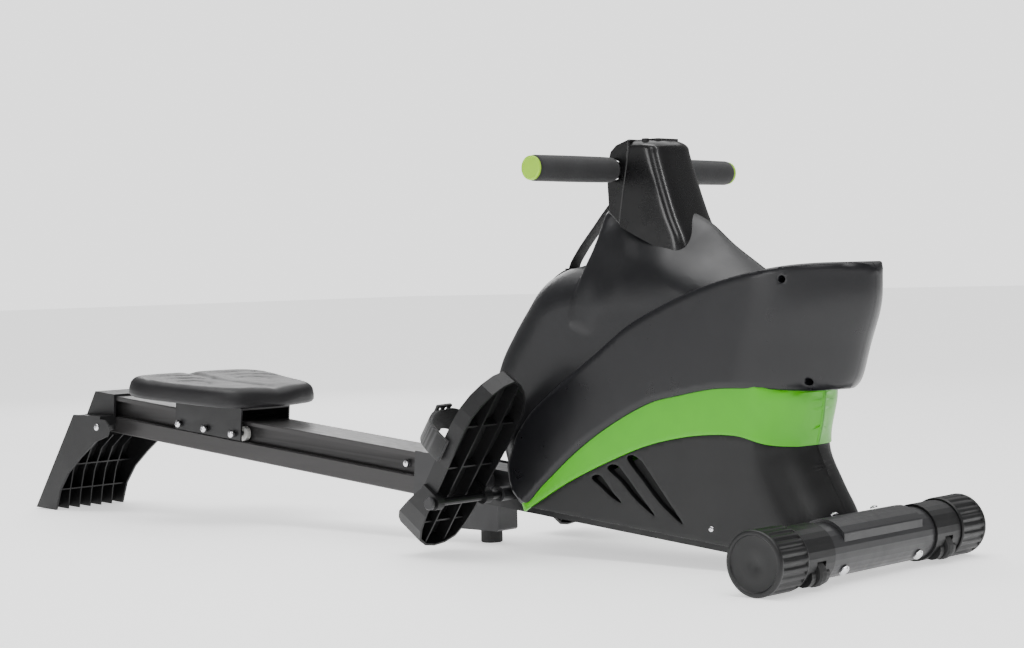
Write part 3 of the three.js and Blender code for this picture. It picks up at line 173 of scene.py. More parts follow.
class Recipe:
    """Builds one node material step by step. Patterns use the frame's own metres."""

    def __init__(self, name, color, rough, metallic=0.0):
        self.material, self.shader = new_material(name)
        self.nodes = self.material.node_tree.nodes
        self.links = self.material.node_tree.links
        self.shader.inputs["Metallic"].default_value = metallic
        self.shader.inputs["Specular IOR Level"].default_value = SPECULAR
        self.coords = self.nodes.new("ShaderNodeTexCoord").outputs["Object"]
        base = self.nodes.new("ShaderNodeRGB")
        base.outputs[0].default_value = (*color, 1)
        self.color = base.outputs[0]
        self.rough = None
        self.base_rough = rough
        self.height = None

    def node(self, kind, sockets):
        """A node with each of its inputs set to a value or linked to another node's output."""
        node = self.nodes.new(kind)
        for name, value in sockets.items():
            if isinstance(value, bpy.types.NodeSocket):
                self.links.new(value, node.inputs[name])
            else:
                node.inputs[name].default_value = value
        return node

    def mapped(self, scale=(1, 1, 1), rotate=(0, 0, 0)):
        return self.node("ShaderNodeMapping", {"Scale": scale, "Rotation": rotate,
                                               "Vector": self.coords}).outputs["Vector"]

    def noise(self, scale, detail=3.0, stretch=(1, 1, 1), roughness=0.5, rotate=(0, 0, 0)):
        return self.node("ShaderNodeTexNoise", {
            "Scale": scale, "Detail": detail, "Roughness": roughness,
            "Vector": self.mapped(stretch, rotate)}).outputs["Fac"]

    def voronoi(self, scale):
        return self.node("ShaderNodeTexVoronoi", {"Scale": scale, "Vector": self.mapped()}) \
            .outputs["Distance"]

    def wave(self, scale, direction):
        node = self.node("ShaderNodeTexWave", {"Scale": scale, "Vector": self.mapped()})
        node.wave_type = "BANDS"
        node.bands_direction = direction
        return node.outputs["Fac"]

    def ranged(self, value, low, high, start=0.0, end=1.0):
        return self.node("ShaderNodeMapRange", {
            "From Min": low, "From Max": high, "To Min": start, "To Max": end,
            "Value": value}).outputs["Result"]

    def math(self, kind, a, b):
        node = self.node("ShaderNodeMath", {0: a, 1: b})
        node.operation = kind
        return node.outputs[0]

    def tint(self, mask, color, strength=1.0):
        """Mixes a colour in where the mask is 1."""
        node = self.nodes.new("ShaderNodeMix")
        node.data_type = "RGBA"
        node.inputs["B"].default_value = (*color, 1)
        factor = self.math("MULTIPLY", mask, strength)
        self.links.new(factor, node.inputs["Factor"])
        self.links.new(self.color, node.inputs["A"])
        self.color = node.outputs["Result"]

    def shift_rough(self, mask, amount):
        base = self.rough if self.rough is not None else self.base_rough
        self.rough = self.math("ADD", base, self.math("MULTIPLY", mask, amount))

    def raise_by(self, mask, amount):
        part = self.math("MULTIPLY", mask, amount)
        self.height = part if self.height is None else self.math("ADD", self.height, part)

    def edges(self):
        """1 on worn outer edges, from the shape's own curvature."""
        node = self.nodes.new("ShaderNodeNewGeometry")
        return self.ranged(node.outputs["Pointiness"], 0.52, 0.60)

    def done(self, distance=0.0004, coat=0.0, sheen=0.0):
        self.links.new(self.color, self.shader.inputs["Base Color"])
        if self.rough is None:
            self.shader.inputs["Roughness"].default_value = self.base_rough
        else:
            self.links.new(self.rough, self.shader.inputs["Roughness"])
        if coat:
            self.shader.inputs["Coat Weight"].default_value = coat
            self.shader.inputs["Coat Roughness"].default_value = 0.08
        if sheen:
            self.shader.inputs["Sheen Weight"].default_value = sheen
        if self.height is not None:
            bump = self.nodes.new("ShaderNodeBump")
            bump.inputs["Strength"].default_value = 1.0
            bump.inputs["Distance"].default_value = distance
            self.links.new(self.height, bump.inputs["Height"])
            self.links.new(bump.outputs["Normal"], self.shader.inputs["Normal"])
        return self.material


def moulding(name, color, rough, grain, light=None):
    """Injection-moulded plastic: spark-eroded grain, soft flow variation, rubbed edges."""
    r = Recipe(name, color, rough)
    light = light or tuple(min(1, c * 2.1 + 0.004) for c in color)
    dark = tuple(c * 0.72 for c in color)
    r.tint(r.ranged(r.noise(5, 4), 0.42, 0.72), light, 0.16)
    r.tint(r.ranged(r.noise(38, 3, roughness=0.5), 0.40, 0.85), dark, 0.25)
    r.tint(r.edges(), light, 0.35)
    r.shift_rough(r.ranged(r.noise(22, 5, roughness=0.65), 0.35, 0.75, -0.5, 0.5), 0.10)
    r.shift_rough(r.ranged(r.noise(260, 2), 0.55, 0.85), 0.03)
    r.raise_by(r.noise(1500, 2), grain)
    r.raise_by(r.noise(60, 2), 0.10)
    return r.done()


def polished(name, color, rough=0.16):
    """Glossy moulding with a faint orange peel, dust and hairline scratches."""
    r = Recipe(name, color, rough)
    dust = tuple(min(1, c * 3 + 0.012) for c in color)
    r.tint(r.ranged(r.noise(900, 1), 0.70, 0.82), dust, 0.22)
    r.tint(r.ranged(r.noise(9, 4), 0.5, 0.75), dust, 0.06)
    r.shift_rough(r.ranged(r.noise(14, 5, roughness=0.7), 0.4, 0.75), 0.09)
    scratch = r.ranged(r.noise(90, 3, stretch=(1, 1, 14)), 0.66, 0.70)
    r.shift_rough(scratch, 0.08)
    r.raise_by(r.noise(70, 2), 0.16)
    return r.done(distance=0.00025, coat=0.25)


def painted_steel(name, color, rough):
    """Powder coat: fine orange peel, slight mottling and bare wear on edges."""
    r = Recipe(name, color, rough)
    r.tint(r.ranged(r.noise(12, 4), 0.45, 0.75), tuple(c * 2 + 0.004 for c in color), 0.22)
    r.tint(r.edges(), (0.09, 0.09, 0.095), 0.25)
    r.shift_rough(r.ranged(r.noise(48, 4), 0.35, 0.7, -0.5, 0.5), 0.14)
    r.raise_by(r.voronoi(620), 0.10)
    r.raise_by(r.noise(1300, 2), 0.10)
    return r.done()


def anodised(name, color, rough):
    """Extruded aluminium: die lines along the rail under a dark anodised skin."""
    r = Recipe(name, color, rough, metallic=0.55)
    lines = r.noise(420, 3, stretch=(0.012, 1, 1), rotate=(0, -TILT, 0))
    r.tint(r.ranged(lines, 0.45, 0.75), tuple(c * 2.2 for c in color), 0.35)
    r.tint(r.ranged(r.noise(8, 3), 0.5, 0.8), (0.03, 0.03, 0.03), 0.22)
    r.tint(r.edges(), (0.16, 0.155, 0.155), 0.30)
    r.shift_rough(r.ranged(lines, 0.3, 0.7, -0.5, 0.5), 0.16)
    r.raise_by(lines, 0.12)
    return r.done(distance=0.0002)


def plated(name):
    """Bright plating, slightly clouded."""
    r = Recipe(name, (0.74, 0.74, 0.76), 0.14, metallic=1.0)
    r.tint(r.ranged(r.noise(160, 4, roughness=0.7), 0.55, 0.75), (0.42, 0.42, 0.44), 0.4)
    r.shift_rough(r.ranged(r.noise(240, 4), 0.4, 0.8), 0.18)
    r.raise_by(r.noise(800, 2), 0.08)
    return r.done(distance=0.0002)


def turned_iron(name):
    """Machined grey iron with darker stains."""
    r = Recipe(name, (0.20, 0.20, 0.21), 0.38, metallic=0.9)
    r.tint(r.ranged(r.noise(30, 5, roughness=0.7), 0.5, 0.75), (0.09, 0.075, 0.065), 0.5)
    r.shift_rough(r.ranged(r.noise(120, 4), 0.35, 0.75), 0.2)
    r.raise_by(r.noise(500, 3), 0.2)
    return r.done()


def foam(name):
    """Closed-cell foam: small open pores with painted shade in their pits, and a soft, dusty surface."""
    r = Recipe(name, (0.0105, 0.0105, 0.0115), 0.82)
    pores = r.voronoi(750)
    # the pores' pits are darkened: painted shade where the bump sinks
    r.tint(r.ranged(pores, 0.0, 0.28, 1, 0), (0.008, 0.008, 0.008), 0.6)
    r.tint(r.ranged(r.noise(22, 4), 0.45, 0.75), (0.030, 0.030, 0.033), 0.30)
    r.raise_by(r.ranged(pores, 0.0, 0.35), 0.55)
    r.raise_by(r.noise(300, 3), 0.25)
    return r.done(sheen=0.15)


def rubber(name):
    """Matt rubber with scuffed edges."""
    r = Recipe(name, (0.0075, 0.0075, 0.0080), 0.74)
    r.tint(r.ranged(r.noise(30, 5), 0.45, 0.75), (0.024, 0.023, 0.022), 0.35)
    r.tint(r.edges(), (0.05, 0.05, 0.05), 0.30)
    r.shift_rough(r.ranged(r.noise(70, 4), 0.35, 0.75, -0.5, 0.5), 0.16)
    r.raise_by(r.noise(900, 3), 0.28)
    return r.done()


def webbing(name, along):
    """Woven strap: warp ribs along it, weft ticks across, painted highlight on the raised weave and painted shade
    between, and frayed lighter threads.
    """
    r = Recipe(name, (0.0060, 0.0060, 0.0065), 0.72)
    weft = r.wave(170, along[0])
    warp = r.wave(230, along[1])
    weave = r.math("MULTIPLY", weft, warp)
    # lighter where the weave is raised and darker in its dips: painted highlight and painted shade
    r.tint(r.ranged(weave, 0.35, 0.9), (0.055, 0.055, 0.058), 0.75)
    r.tint(r.ranged(r.noise(420, 3), 0.60, 0.75), (0.11, 0.11, 0.11), 0.25)
    r.raise_by(weave, 0.8)
    return r.done(sheen=0.3)


def nylon(name):
    """Pale roller nylon, greyed by dirt."""
    r = Recipe(name, (0.52, 0.52, 0.50), 0.42)
    r.tint(r.ranged(r.noise(60, 4), 0.45, 0.75), (0.33, 0.32, 0.30), 0.45)
    r.tint(r.edges(), (0.72, 0.72, 0.70), 0.3)
    r.shift_rough(r.ranged(r.noise(120, 3), 0.3, 0.7), 0.12)
    r.raise_by(r.noise(700, 2), 0.12)
    return r.done()


def display(name):
    """Unlit liquid crystal glass over fine lines."""
    r = Recipe(name, (0.20, 0.23, 0.17), 0.10)
    r.tint(r.ranged(r.wave(900, "X"), 0.45, 0.9), (0.15, 0.18, 0.13), 0.30)
    r.tint(r.ranged(r.noise(40, 3), 0.5, 0.8), (0.27, 0.30, 0.23), 0.3)
    r.shift_rough(r.ranged(r.noise(90, 3), 0.5, 0.8), 0.12)
    r.raise_by(r.noise(60, 2), 0.05)
    return r.done(coat=0.6)


MAT = {}


def make_materials():
    MAT.update(
        shell=moulding("charcoal_shell", (0.0066, 0.0067, 0.0080), 0.38, grain=0.10),
        visor=moulding("visor", (0.0056, 0.0056, 0.0070), 0.32, grain=0.04),
        gloss=polished("polished_black", (0.004, 0.004, 0.0046)),
        head=polished("head_gloss", (0.0050, 0.0050, 0.0054), 0.24),
        green=moulding("green_trim", (0.065, 0.42, 0.0), 0.36, grain=0.04,
                       light=(0.10, 0.49, 0.0)),
        steel=painted_steel("black_powder_coat", (0.0060, 0.0060, 0.0066), 0.36),
        plastic=moulding("black_moulding", (0.0046, 0.0046, 0.0050), 0.46, grain=0.20),
        seat=moulding("seat_moulding", (0.0078, 0.0074, 0.0084), 0.46, grain=0.24),
        rail=anodised("dark_anodised", (0.0080, 0.0077, 0.0080), 0.38),
        chrome=plated("plated_steel"),
        iron=turned_iron("turned_iron"),
        rubber=rubber("black_rubber"),
        foam=foam("black_foam"),
        lime=moulding("lime_cap", (0.32, 0.62, 0.02), 0.45, grain=0.12,
                      light=(0.40, 0.70, 0.05)),
        foot_web=webbing("foot_webbing", ("Y", "X")),
        tow_web=webbing("tow_webbing", ("Z", "Y")),
        nylon=nylon("roller_nylon"),
        lcd=display("lcd"),
        # near-black moulding for sheets standing in for shaded openings: painted shade
        dark=moulding("painted_shade_inside", (0.004, 0.004, 0.004), 0.8, grain=0.1))


# ---------------------------------------------------------------- mesh helpers

def new_object(name, vertices, faces, material, body):
    mesh = bpy.data.meshes.new(name)
    mesh.from_pydata([tuple(v) for v in vertices], [], [tuple(f) for f in faces])
    mesh.validate()
    mesh.update()
    piece = bpy.data.objects.new(name, mesh)
    bpy.context.collection.objects.link(piece)
    mesh.materials.append(material)
    mesh.polygons.foreach_set("use_smooth", [True] * len(mesh.polygons))
    if body:
        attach(piece, body)
    return piece


CLOSE = 2e-6                          # points nearer than this are one


def joined(piece, distance, closed=True):
    """Points closer than distance joined and, on a closed piece, all faces turned outwards."""
    work = bmesh.new()
    work.from_mesh(piece.data)
    bmesh.ops.remove_doubles(work, verts=work.verts, dist=distance)
    if closed:
        bmesh.ops.recalc_face_normals(work, faces=work.faces)
    work.to_mesh(piece.data)
    work.free()
    return piece


def bevelled(piece, width, segments=2, angle=30):
    bevel = piece.modifiers.new("bevel", "BEVEL")
    bevel.width = width
    bevel.segments = segments
    bevel.limit_method = "ANGLE"
    bevel.angle_limit = math.radians(angle)
    bevel.harden_normals = True


def sharpen(piece, angle):
    piece.data.set_sharp_from_angle(angle=math.radians(angle))


def catmull(points, step, closed=False):
    """A centripetal curve through a few points, sampled about every step."""
    p = [np.array(q, float) for q in points]
    n = len(p)
    spans = n if closed else n - 1
    found = []
    for i in range(spans):
        if closed:
            a, b, c, d = p[(i - 1) % n], p[i], p[(i + 1) % n], p[(i + 2) % n]
        else:
            b, c = p[i], p[i + 1]
            a = p[i - 1] if i else 2 * b - c
            d = p[i + 2] if i + 2 < n else 2 * c - b
        t0 = 0.0
        t1 = t0 + max(np.linalg.norm(b - a), 1e-9) ** 0.5
        t2 = t1 + max(np.linalg.norm(c - b), 1e-9) ** 0.5
        t3 = t2 + max(np.linalg.norm(d - c), 1e-9) ** 0.5
        count = max(1, int(round(np.linalg.norm(c - b) / step)))
        for k in range(count):
            t = t1 + (t2 - t1) * k / count
            a1 = (t1 - t) / (t1 - t0) * a + (t - t0) / (t1 - t0) * b
            a2 = (t2 - t) / (t2 - t1) * b + (t - t1) / (t2 - t1) * c
            a3 = (t3 - t) / (t3 - t2) * c + (t - t2) / (t3 - t2) * d
            b1 = (t2 - t) / (t2 - t0) * a1 + (t - t0) / (t2 - t0) * a2
            b2 = (t3 - t) / (t3 - t1) * a2 + (t - t1) / (t3 - t1) * a3
            found.append((t2 - t) / (t2 - t1) * b1 + (t - t1) / (t2 - t1) * b2)
    if not closed:
        found.append(p[-1])
    return np.array(found)


def split_long(points, step, closed=True):
    """The same straight-sided outline with points added along its long sides."""
    p = np.array(points, float)
    ends = np.roll(p, -1, axis=0) if closed else p[1:]
    starts = p if closed else p[:-1]
    found = []
    for a, b in zip(starts, ends):
        count = max(1, int(math.ceil(np.linalg.norm(b - a) / step)))
        found += [a + (b - a) * k / count for k in range(count)]
    if not closed:
        found.append(p[-1])
    return np.array(found)


def distance_to(points, outline, closed=True):
    """Shortest distance from each point to an outline."""
    a = outline
    b = np.roll(outline, -1, axis=0)
    if not closed:
        a, b = outline[:-1], outline[1:]
    ab = b - a
    length = np.maximum((ab ** 2).sum(1), 1e-18)
    best = np.full(len(points), 1e9)
    for i in range(len(a)):
        ap = points - a[i]
        t = np.clip(ap @ ab[i] / length[i], 0, 1)
        away = ap - t[:, None] * ab[i]
        best = np.minimum(best, np.hypot(away[:, 0], away[:, 1]))
    return best


def inside(points, outline):
    x, y = points[:, 0], points[:, 1]
    hit = np.zeros(len(points), bool)
    for (x0, y0), (x1, y1) in zip(outline, np.roll(outline, -1, axis=0)):
        if y0 == y1:
            continue
        crosses = (y0 > y) != (y1 > y)
        hit ^= crosses & (x < (x1 - x0) * (y - y0) / (y1 - y0) + x0)
    return hit


def within(points, loops):
    """True inside the first loop and outside the others."""
    keep = inside(points, loops[0])
    for loop in loops[1:]:
        keep &= ~inside(points, loop)
    return keep


def signed(points, outline):
    d = distance_to(points, outline)
    return np.where(inside(points, outline), d, -d)


def quarter(t):
    """Rises from 0 to 1 as a quarter circle while t goes from 0 to 1."""
    t = np.clip(t, 0, 1)
    return np.sqrt(np.maximum(1 - (1 - t) ** 2, 0))


def soft_max(a, b, width):
    h = np.clip(0.5 + 0.5 * (a - b) / width, 0, 1)
    return b + (a - b) * h + width * h * (1 - h)


def ring_points(outline, distance):
    """Points at one distance from a closed outline, on both sides of it."""
    tangent = np.roll(outline, -1, axis=0) - np.roll(outline, 1, axis=0)
    normal = np.column_stack([tangent[:, 1], -tangent[:, 0]])
    normal /= np.maximum(np.linalg.norm(normal, axis=1), 1e-12)[:, None]
    found = np.vstack([outline + normal * distance, outline - normal * distance])
    return found[np.abs(distance_to(found, outline) - distance) < 0.03 * distance + 1e-5]


def panel(name, outer, height, place_at, material, body, holes=(), spacing=0.0075,
          levels=(), edge=0.0012, depth=0.003, under=None, closed=False):
    """A skin over a flat outline: place_at(u, v, h) puts a point of height h in the frame.

    levels are [outline, distances] whose offset lines get points, so that a crown bends smoothly.
    The border is rounded by edge and turned in by depth, or down to under."""
    loops = [np.array(outer)] + [np.array(loop) for loop in holes]
    candidates = []
    for k, v in enumerate(np.arange(outer[:, 1].min(), outer[:, 1].max(), spacing * 0.87)):
        us = np.arange(outer[:, 0].min() + (k % 2) * spacing / 2, outer[:, 0].max(), spacing)
        candidates.append(np.column_stack([us, np.full(len(us), v)]))
    free = np.vstack(candidates)
    for outline, distances in levels:
        away = distance_to(free, outline)
        free = free[(away > max(distances) + spacing * 0.4) | ~inside(free, outline)]
    for outline, distances in levels:
        for d in distances:
            free = np.vstack([free, ring_points(outline, d)])
    for loop in loops:
        free = free[distance_to(free, loop) > edge + 0.0008]
    border = [ring_points(loop, share * edge) for loop in loops for share in (0.3, 1.0)] \
        if edge else []
    points = np.vstack([free] + border)
    points = points[within(points, loops)]
    verts = [Vector(p) for loop in loops for p in loop] + [Vector(p) for p in points]
    edges = []
    start = 0
    for loop in loops:
        n = len(loop)
        edges += [(start + i, start + (i + 1) % n) for i in range(n)]
        start += n
    out = delaunay_2d_cdt(verts, edges, [], 0, 1e-7)
    flat = np.array([tuple(v) for v in out[0]])
    tris = np.array([tuple(f) for f in out[2] if len(f) == 3])
    tris = tris[within(flat[tris].mean(axis=1), loops)]
    top = height(flat)
    rim = np.full(len(flat), 1e9)
    for loop in loops:
        rim = np.minimum(rim, distance_to(flat, loop))
    if edge:
        top = top - edge * (1 - quarter(rim / edge))
    a, b, c = flat[tris[:, 0]], flat[tris[:, 1]], flat[tris[:, 2]]
    turn = (b[:, 0] - a[:, 0]) * (c[:, 1] - a[:, 1]) - (b[:, 1] - a[:, 1]) * (c[:, 0] - a[:, 0])
    tris[turn < 0] = tris[turn < 0][:, ::-1]
    vertices = list(place_at(flat[:, 0], flat[:, 1], top))
    faces = [tuple(t) for t in tris]
    directed = {(f[i], f[(i + 1) % 3]) for f in faces for i in range(3)}
    open_edges = [(i, j) for (i, j) in directed if (j, i) not in directed]
    low = top - depth if under is None else np.minimum(under(flat), top - 0.0004)
    steps = 1 if under is None else 3
    chain = {}
    for i, _ in open_edges:
        at = np.linspace(top[i], low[i], steps + 1)[1:]
        rows = place_at(np.full(steps, flat[i, 0]), np.full(steps, flat[i, 1]), at)
        chain[i] = [i] + [len(vertices) + k for k in range(steps)]
        vertices += list(rows)
    for i, j in open_edges:
        for k in range(steps):
            faces.append((chain[j][k], chain[i][k], chain[i][k + 1], chain[j][k + 1]))
    if closed:
        base = len(vertices)
        vertices += list(place_at(flat[:, 0], flat[:, 1], low))
        faces += [tuple(base + v for v in t[::-1]) for t in tris]
    piece = new_object(name, vertices, faces, material, body)
    joined(piece, 3e-6, closed)
    sharpen(piece, 42)
    return piece


def prism(name, outline, low, high, place_at, material, body, bevel=0.0, segments=3):
    """An outline carried from low to high, with rounded edges."""
    n = len(outline)
    o = np.array(outline)
    vertices = list(place_at(o[:, 0], o[:, 1], np.full(n, high)))
    vertices += list(place_at(o[:, 0], o[:, 1], np.full(n, low)))
    faces = [tuple(range(n)), tuple(range(2 * n - 1, n - 1, -1))]
    faces += [((i + 1) % n, i, n + i, n + (i + 1) % n) for i in range(n)]
    piece = joined(new_object(name, vertices, faces, material, body), CLOSE)
    if bevel:
        bevelled(piece, bevel, segments)
    sharpen(piece, 40)
    return piece


def on_side(side):
    """Puts an outline in X and Z at a height sideways on the right (-1) or the left (1)."""
    return lambda u, v, h: np.column_stack([u, side * np.asarray(h), v])


def in_matrix(matrix):
    """Puts local x, y and z in the frame through a matrix."""
    m = np.array(matrix)

    def at(u, v, h):
        local = np.column_stack([u, v, h, np.ones(len(u))])
        return (local @ m.T)[:, :3]
    return at


def lathe(name, profile, centre, axis, material, body, sides=48, shape=None):
    """A turned piece about an axis. shape(angle, along) scales the radius there."""
    axis = Vector(axis).normalized()
    across = axis.orthogonal().normalized()
    other = axis.cross(across)
    vertices, faces = [], []
    for r, along in profile:
        for k in range(sides):
            angle = 2 * math.pi * k / sides
            radius = r * (shape(angle, along) if shape else 1)
            vertices.append(Vector(centre) + axis * along
                            + radius * (math.cos(angle) * across + math.sin(angle) * other))
    rows = len(profile)
    for i in range(rows - 1):
        for k in range(sides):
            m = (k + 1) % sides
            faces.append((i * sides + k, i * sides + m, (i + 1) * sides + m, (i + 1) * sides + k))
    if profile[0][0] > 1e-5:
        faces.append(tuple(range(sides - 1, -1, -1)))
    if profile[-1][0] > 1e-5:
        faces.append(tuple((rows - 1) * sides + k for k in range(sides)))
    piece = joined(new_object(name, vertices, faces, material, body), CLOSE)
    sharpen(piece, 40)
    return piece


def ribbon(name, path, out, width_axis, section, material, body):
    """Sweeps an open section [across, height] along a path. out gives each point's outer side."""
    vertices, faces = [], []
    n, m = len(path), len(section)
    wide = Vector(width_axis)
    for p, o in zip(path, out):
        for across, rise in section:
            vertices.append(Vector(p) + wide * across + Vector(o) * rise)
    for i in range(n - 1):
        for k in range(m):
            q = (k + 1) % m
            faces.append((i * m + k, i * m + q, (i + 1) * m + q, (i + 1) * m + k))
    faces.append(tuple(range(m)))
    faces.append(tuple((n - 1) * m + k for k in range(m - 1, -1, -1)))
    piece = joined(new_object(name, vertices, faces, material, body), CLOSE)
    sharpen(piece, 50)
    return piece


def strap_section(half, thickness):
    """A flat band with rounded edges, as a closed loop of [across, height]."""
    r = thickness / 2
    loop = []
    for centre, start in ((half - r, -90), (-half + r, 90)):
        for k in range(4):
            angle = math.radians(start + 180 * k / 3)
            loop.append((centre + r * math.cos(angle), r + r * math.sin(angle)))
    return loop


def normals_of(path):
    """Outer sides of a path that lies in X and Z."""
    p = np.array([tuple(q) for q in path])
    t = np.gradient(p, axis=0)
    n = np.column_stack([-t[:, 2], np.zeros(len(p)), t[:, 0]])
    n /= np.maximum(np.linalg.norm(n, axis=1), 1e-12)[:, None]
    return n


# ---------------------------------------------------------------- housing outlines, in X and Z

SHELL = place([
    (-560, -110), (-566, 0), (-594, 80), (-620, 165), (-632, 235), (-617, 288), (-588, 333),
    (-560, 369), (-530, 403), (-498, 420), (-450, 430), (-380, 432), (-300, 430), (-220, 418),
    (-145, 388), (-92, 340), (-64, 285), (-58, 240), (-70, 172), (-50, 125), (-27, 83),
    (-12, 30), (-12, -110)])
TOWER = place([
    (-456, 345), (-448, 380), (-437, 424), (-430, 452), (-421, 484), (-410, 506), (-392, 516),
    (-340, 518), (-300, 506), (-262, 492), (-238, 478), (-204, 450), (-156, 417), (-110, 384),
    (-130, 330), (-300, 300), (-450, 330)])
# the upper shell follows the rear of the housing, and then the tower
UPPER_SKIN = place([(-598, 100), (-609, 130)]) + SHELL[3:10] \
    + place([(-466, 423), (-443, 432)]) + TOWER[3:13] + place([(-118, 386), (-92, 340)])
UPPER_RETURN = place([
    (-115, 300), (-246, 300), (-340, 270), (-420, 205), (-490, 142), (-530, 96), (-545, 72),
    (-584, 75.4), (-584, 100)])
VISOR_TOP = place([
    (-570, 130), (-548, 178), (-533, 197), (-520, 211), (-476, 244), (-392, 299), (-331, 339),
    (-271, 366), (-214, 387), (-150, 404), (-65, 418), (0, 421), (24, 419), (31, 411)])
VISOR_FRONT = place([(31, 411), (28, 364), (10, 310), (-6, 262), (-16, 250)])
VISOR_LOW = place([
    (-16, 250), (-48, 249), (-115, 252), (-180, 251), (-246, 240), (-292, 230), (-360, 200),
    (-430, 158), (-500, 104), (-536, 76), (-560, 92), (-570, 130)])
BAND_LOW = place([
    (-543, 62), (-509, 80), (-449, 112), (-353, 152), (-300, 170), (-244, 182), (-190, 188),
    (-141, 187), (-100, 176), (-70, 172)])
BAND_FRONT = place([(-68, 173), (-60, 205), (-55, 240), (-56, 256)])
BAND_UP = place([
    (-115, 257), (-180, 256), (-246, 245), (-292, 235), (-360, 205), (-430, 163), (-500, 109),
    (-536, 82), (-548, 74)])
LOWER_NOSE = place([(-70, 172), (-50, 125), (-35, 98), (-26, 80.6)])

# the housing's half width, and how far its rounded edge reaches in and down
HALF, CROWN, CROWN_DEPTH = 0.080, 0.064, 0.078
BAND_STEP = 0.002                     # how far the green band stands proud of the shells
# the tower narrows from a height, over a height, by so much on each side
TAPER_FROM, TAPER_OVER, TAPER_BY = 0.382, 0.106, 0.035
# its rear edge is tight and its front ridge broad, and they blend over a length
TOWER_EDGE, TOWER_RIDGE, TOWER_CREST = 0.020, 0.085, 0.002
RIDGE_FROM, RIDGE_OVER = TUBE_X - 0.415, 0.085
TOWER_RINGS = [0.0004, 0.0015, 0.0035, 0.0065, 0.0105, 0.0155, 0.022, 0.030, 0.040, 0.052]
VISOR_HALF, VISOR_REACH = 0.087, 0.150    # the reach is how far back its nose is rounded
VISOR_RIM, VISOR_RIM_DROP = 0.006, 0.005
NOSE_RINGS = [0.0004, 0.0014, 0.003, 0.0052, 0.008, 0.0115, 0.0155, 0.020]
TUBE_CLEARANCE = 0.0455               # radius of the lower shells' cut round the stabiliser
SKIN_EDGE, SKIN_TURN = 0.0012, 0.012      # the shells' rounded border, and how deep it turns in


def arc_about(x, z, radius, start, end, count):
    """Points on an arc in X and Z, from one angle in degrees to another."""
    return [(x + radius * math.cos(a), z + radius * math.sin(a))
            for a in np.radians(np.linspace(start, end, count))]


def rings(reach, steps):
    return [reach * (1 - math.cos(math.pi / 2 * k / steps)) for k in range(1, steps + 1)]


SHELL_LINE = np.vstack([np.array(SHELL[:1]), catmull(SHELL[1:-1], 0.006), np.array(SHELL[-1:])])
TOWER_LINE = catmull(TOWER, 0.006, closed=True)
SHELL_LEVEL = (SHELL_LINE, rings(CROWN, 9))


def eased(t):
    return t * t * (3 - 2 * t)


def shell_height(flat, grow=0.0):
    d = signed(flat, SHELL_LINE) + grow
    return HALF - CROWN_DEPTH + CROWN_DEPTH * quarter(d / CROWN) + grow


def tower_height(flat):
    half = HALF - TAPER_BY * eased(np.clip((flat[:, 1] - TAPER_FROM) / TAPER_OVER, 0, 1))
    d = signed(flat, TOWER_LINE)
    front = eased(np.clip((flat[:, 0] - RIDGE_FROM) / RIDGE_OVER, 0, 1))
    deep = np.clip(np.maximum(d, 0) / TOWER_RIDGE, 0, 1)
    ridge = (1 - (1 - deep) ** 1.8) ** 0.72
    edge = quarter(np.maximum(d, 0) / TOWER_EDGE)
    # a crest runs down the middle of the tower's front to the visor
    rise = TOWER_CREST + (half - TOWER_CREST) * (edge + front * (ridge - edge))
    return np.where(d > -0.01, rise, 0)


def upper_height(flat):
    return soft_max(shell_height(flat), tower_height(flat), 0.006)


def make_upper_shell(name, side):
    top = catmull(UPPER_SKIN, 0.005)
    back = split_long(UPPER_RETURN, 0.008, closed=False)
    piece = panel(f"{name}_upper_skin", np.vstack([top, back]), upper_height, on_side(side),
                  MAT["shell"], "frame", edge=SKIN_EDGE,
                  levels=[SHELL_LEVEL, (TOWER_LINE, TOWER_RINGS)],
                  under=lambda p: np.clip(upper_height(p) - SKIN_TURN, 0.0003, 0.0704))
    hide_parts(f"{name}_upper_shell")


def make_lower_shell(name, side):
    arc = arc_about(TUBE_X, 0.0433, TUBE_CLEARANCE, 125, 206, 12)
    cut = split_long([arc[-1], (TUBE_X - 0.530, 0.0699)], 0.008, closed=False)
    outline = np.vstack([catmull(BAND_LOW[1:], 0.005)[:-1], catmull(LOWER_NOSE, 0.005)[:-1],
                         arc, cut[1:]])
    piece = panel(f"{name}_lower_skin", outline, shell_height, on_side(side), MAT["plastic"],
                  "frame", holes=[catmull(v, 0.004, closed=True) for v in VENTS],
                  levels=[SHELL_LEVEL], edge=SKIN_EDGE,
                  under=lambda p: np.clip(shell_height(p) - SKIN_TURN, 0.0003, None))
    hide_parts(f"{name}_lower_shell")
    # a near-black sheet behind the vent holes: painted shade for the housing's inside
    backing = place([(-425, 112), (-300, 160), (-232, 150), (-225, 58), (-380, 62)])
    prism(f"{name}_vent_painted_shade", backing, HALF - 0.012, HALF - 0.0105, on_side(side), MAT["dark"],
          "frame")


VENTS = [place(p) for p in (
    [(-408, 119), (-403, 123), (-392, 123), (-382, 114), (-368, 99), (-354, 86), (-370, 92),
     (-393, 108)],
    [(-378, 135), (-373, 139), (-360, 139), (-345, 126), (-320, 99), (-294, 71), (-325, 90),
     (-355, 117)],
    [(-341, 151), (-335, 155), (-318, 149), (-296, 125), (-270, 94), (-244, 62), (-280, 86),
     (-313, 119)])]


def make_band(name, side):
    outline = np.vstack([catmull(BAND_LOW, 0.005)[:-1], catmull(BAND_FRONT, 0.004)[:-1],
                         catmull(BAND_UP, 0.006)])
    piece = panel(f"{name}_green_skin", outline, lambda p: shell_height(p, BAND_STEP),
                  on_side(side), MAT["green"], "frame",
                  levels=[SHELL_LEVEL], edge=0.0010, depth=0.004)
    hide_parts(f"{name}_green_band")


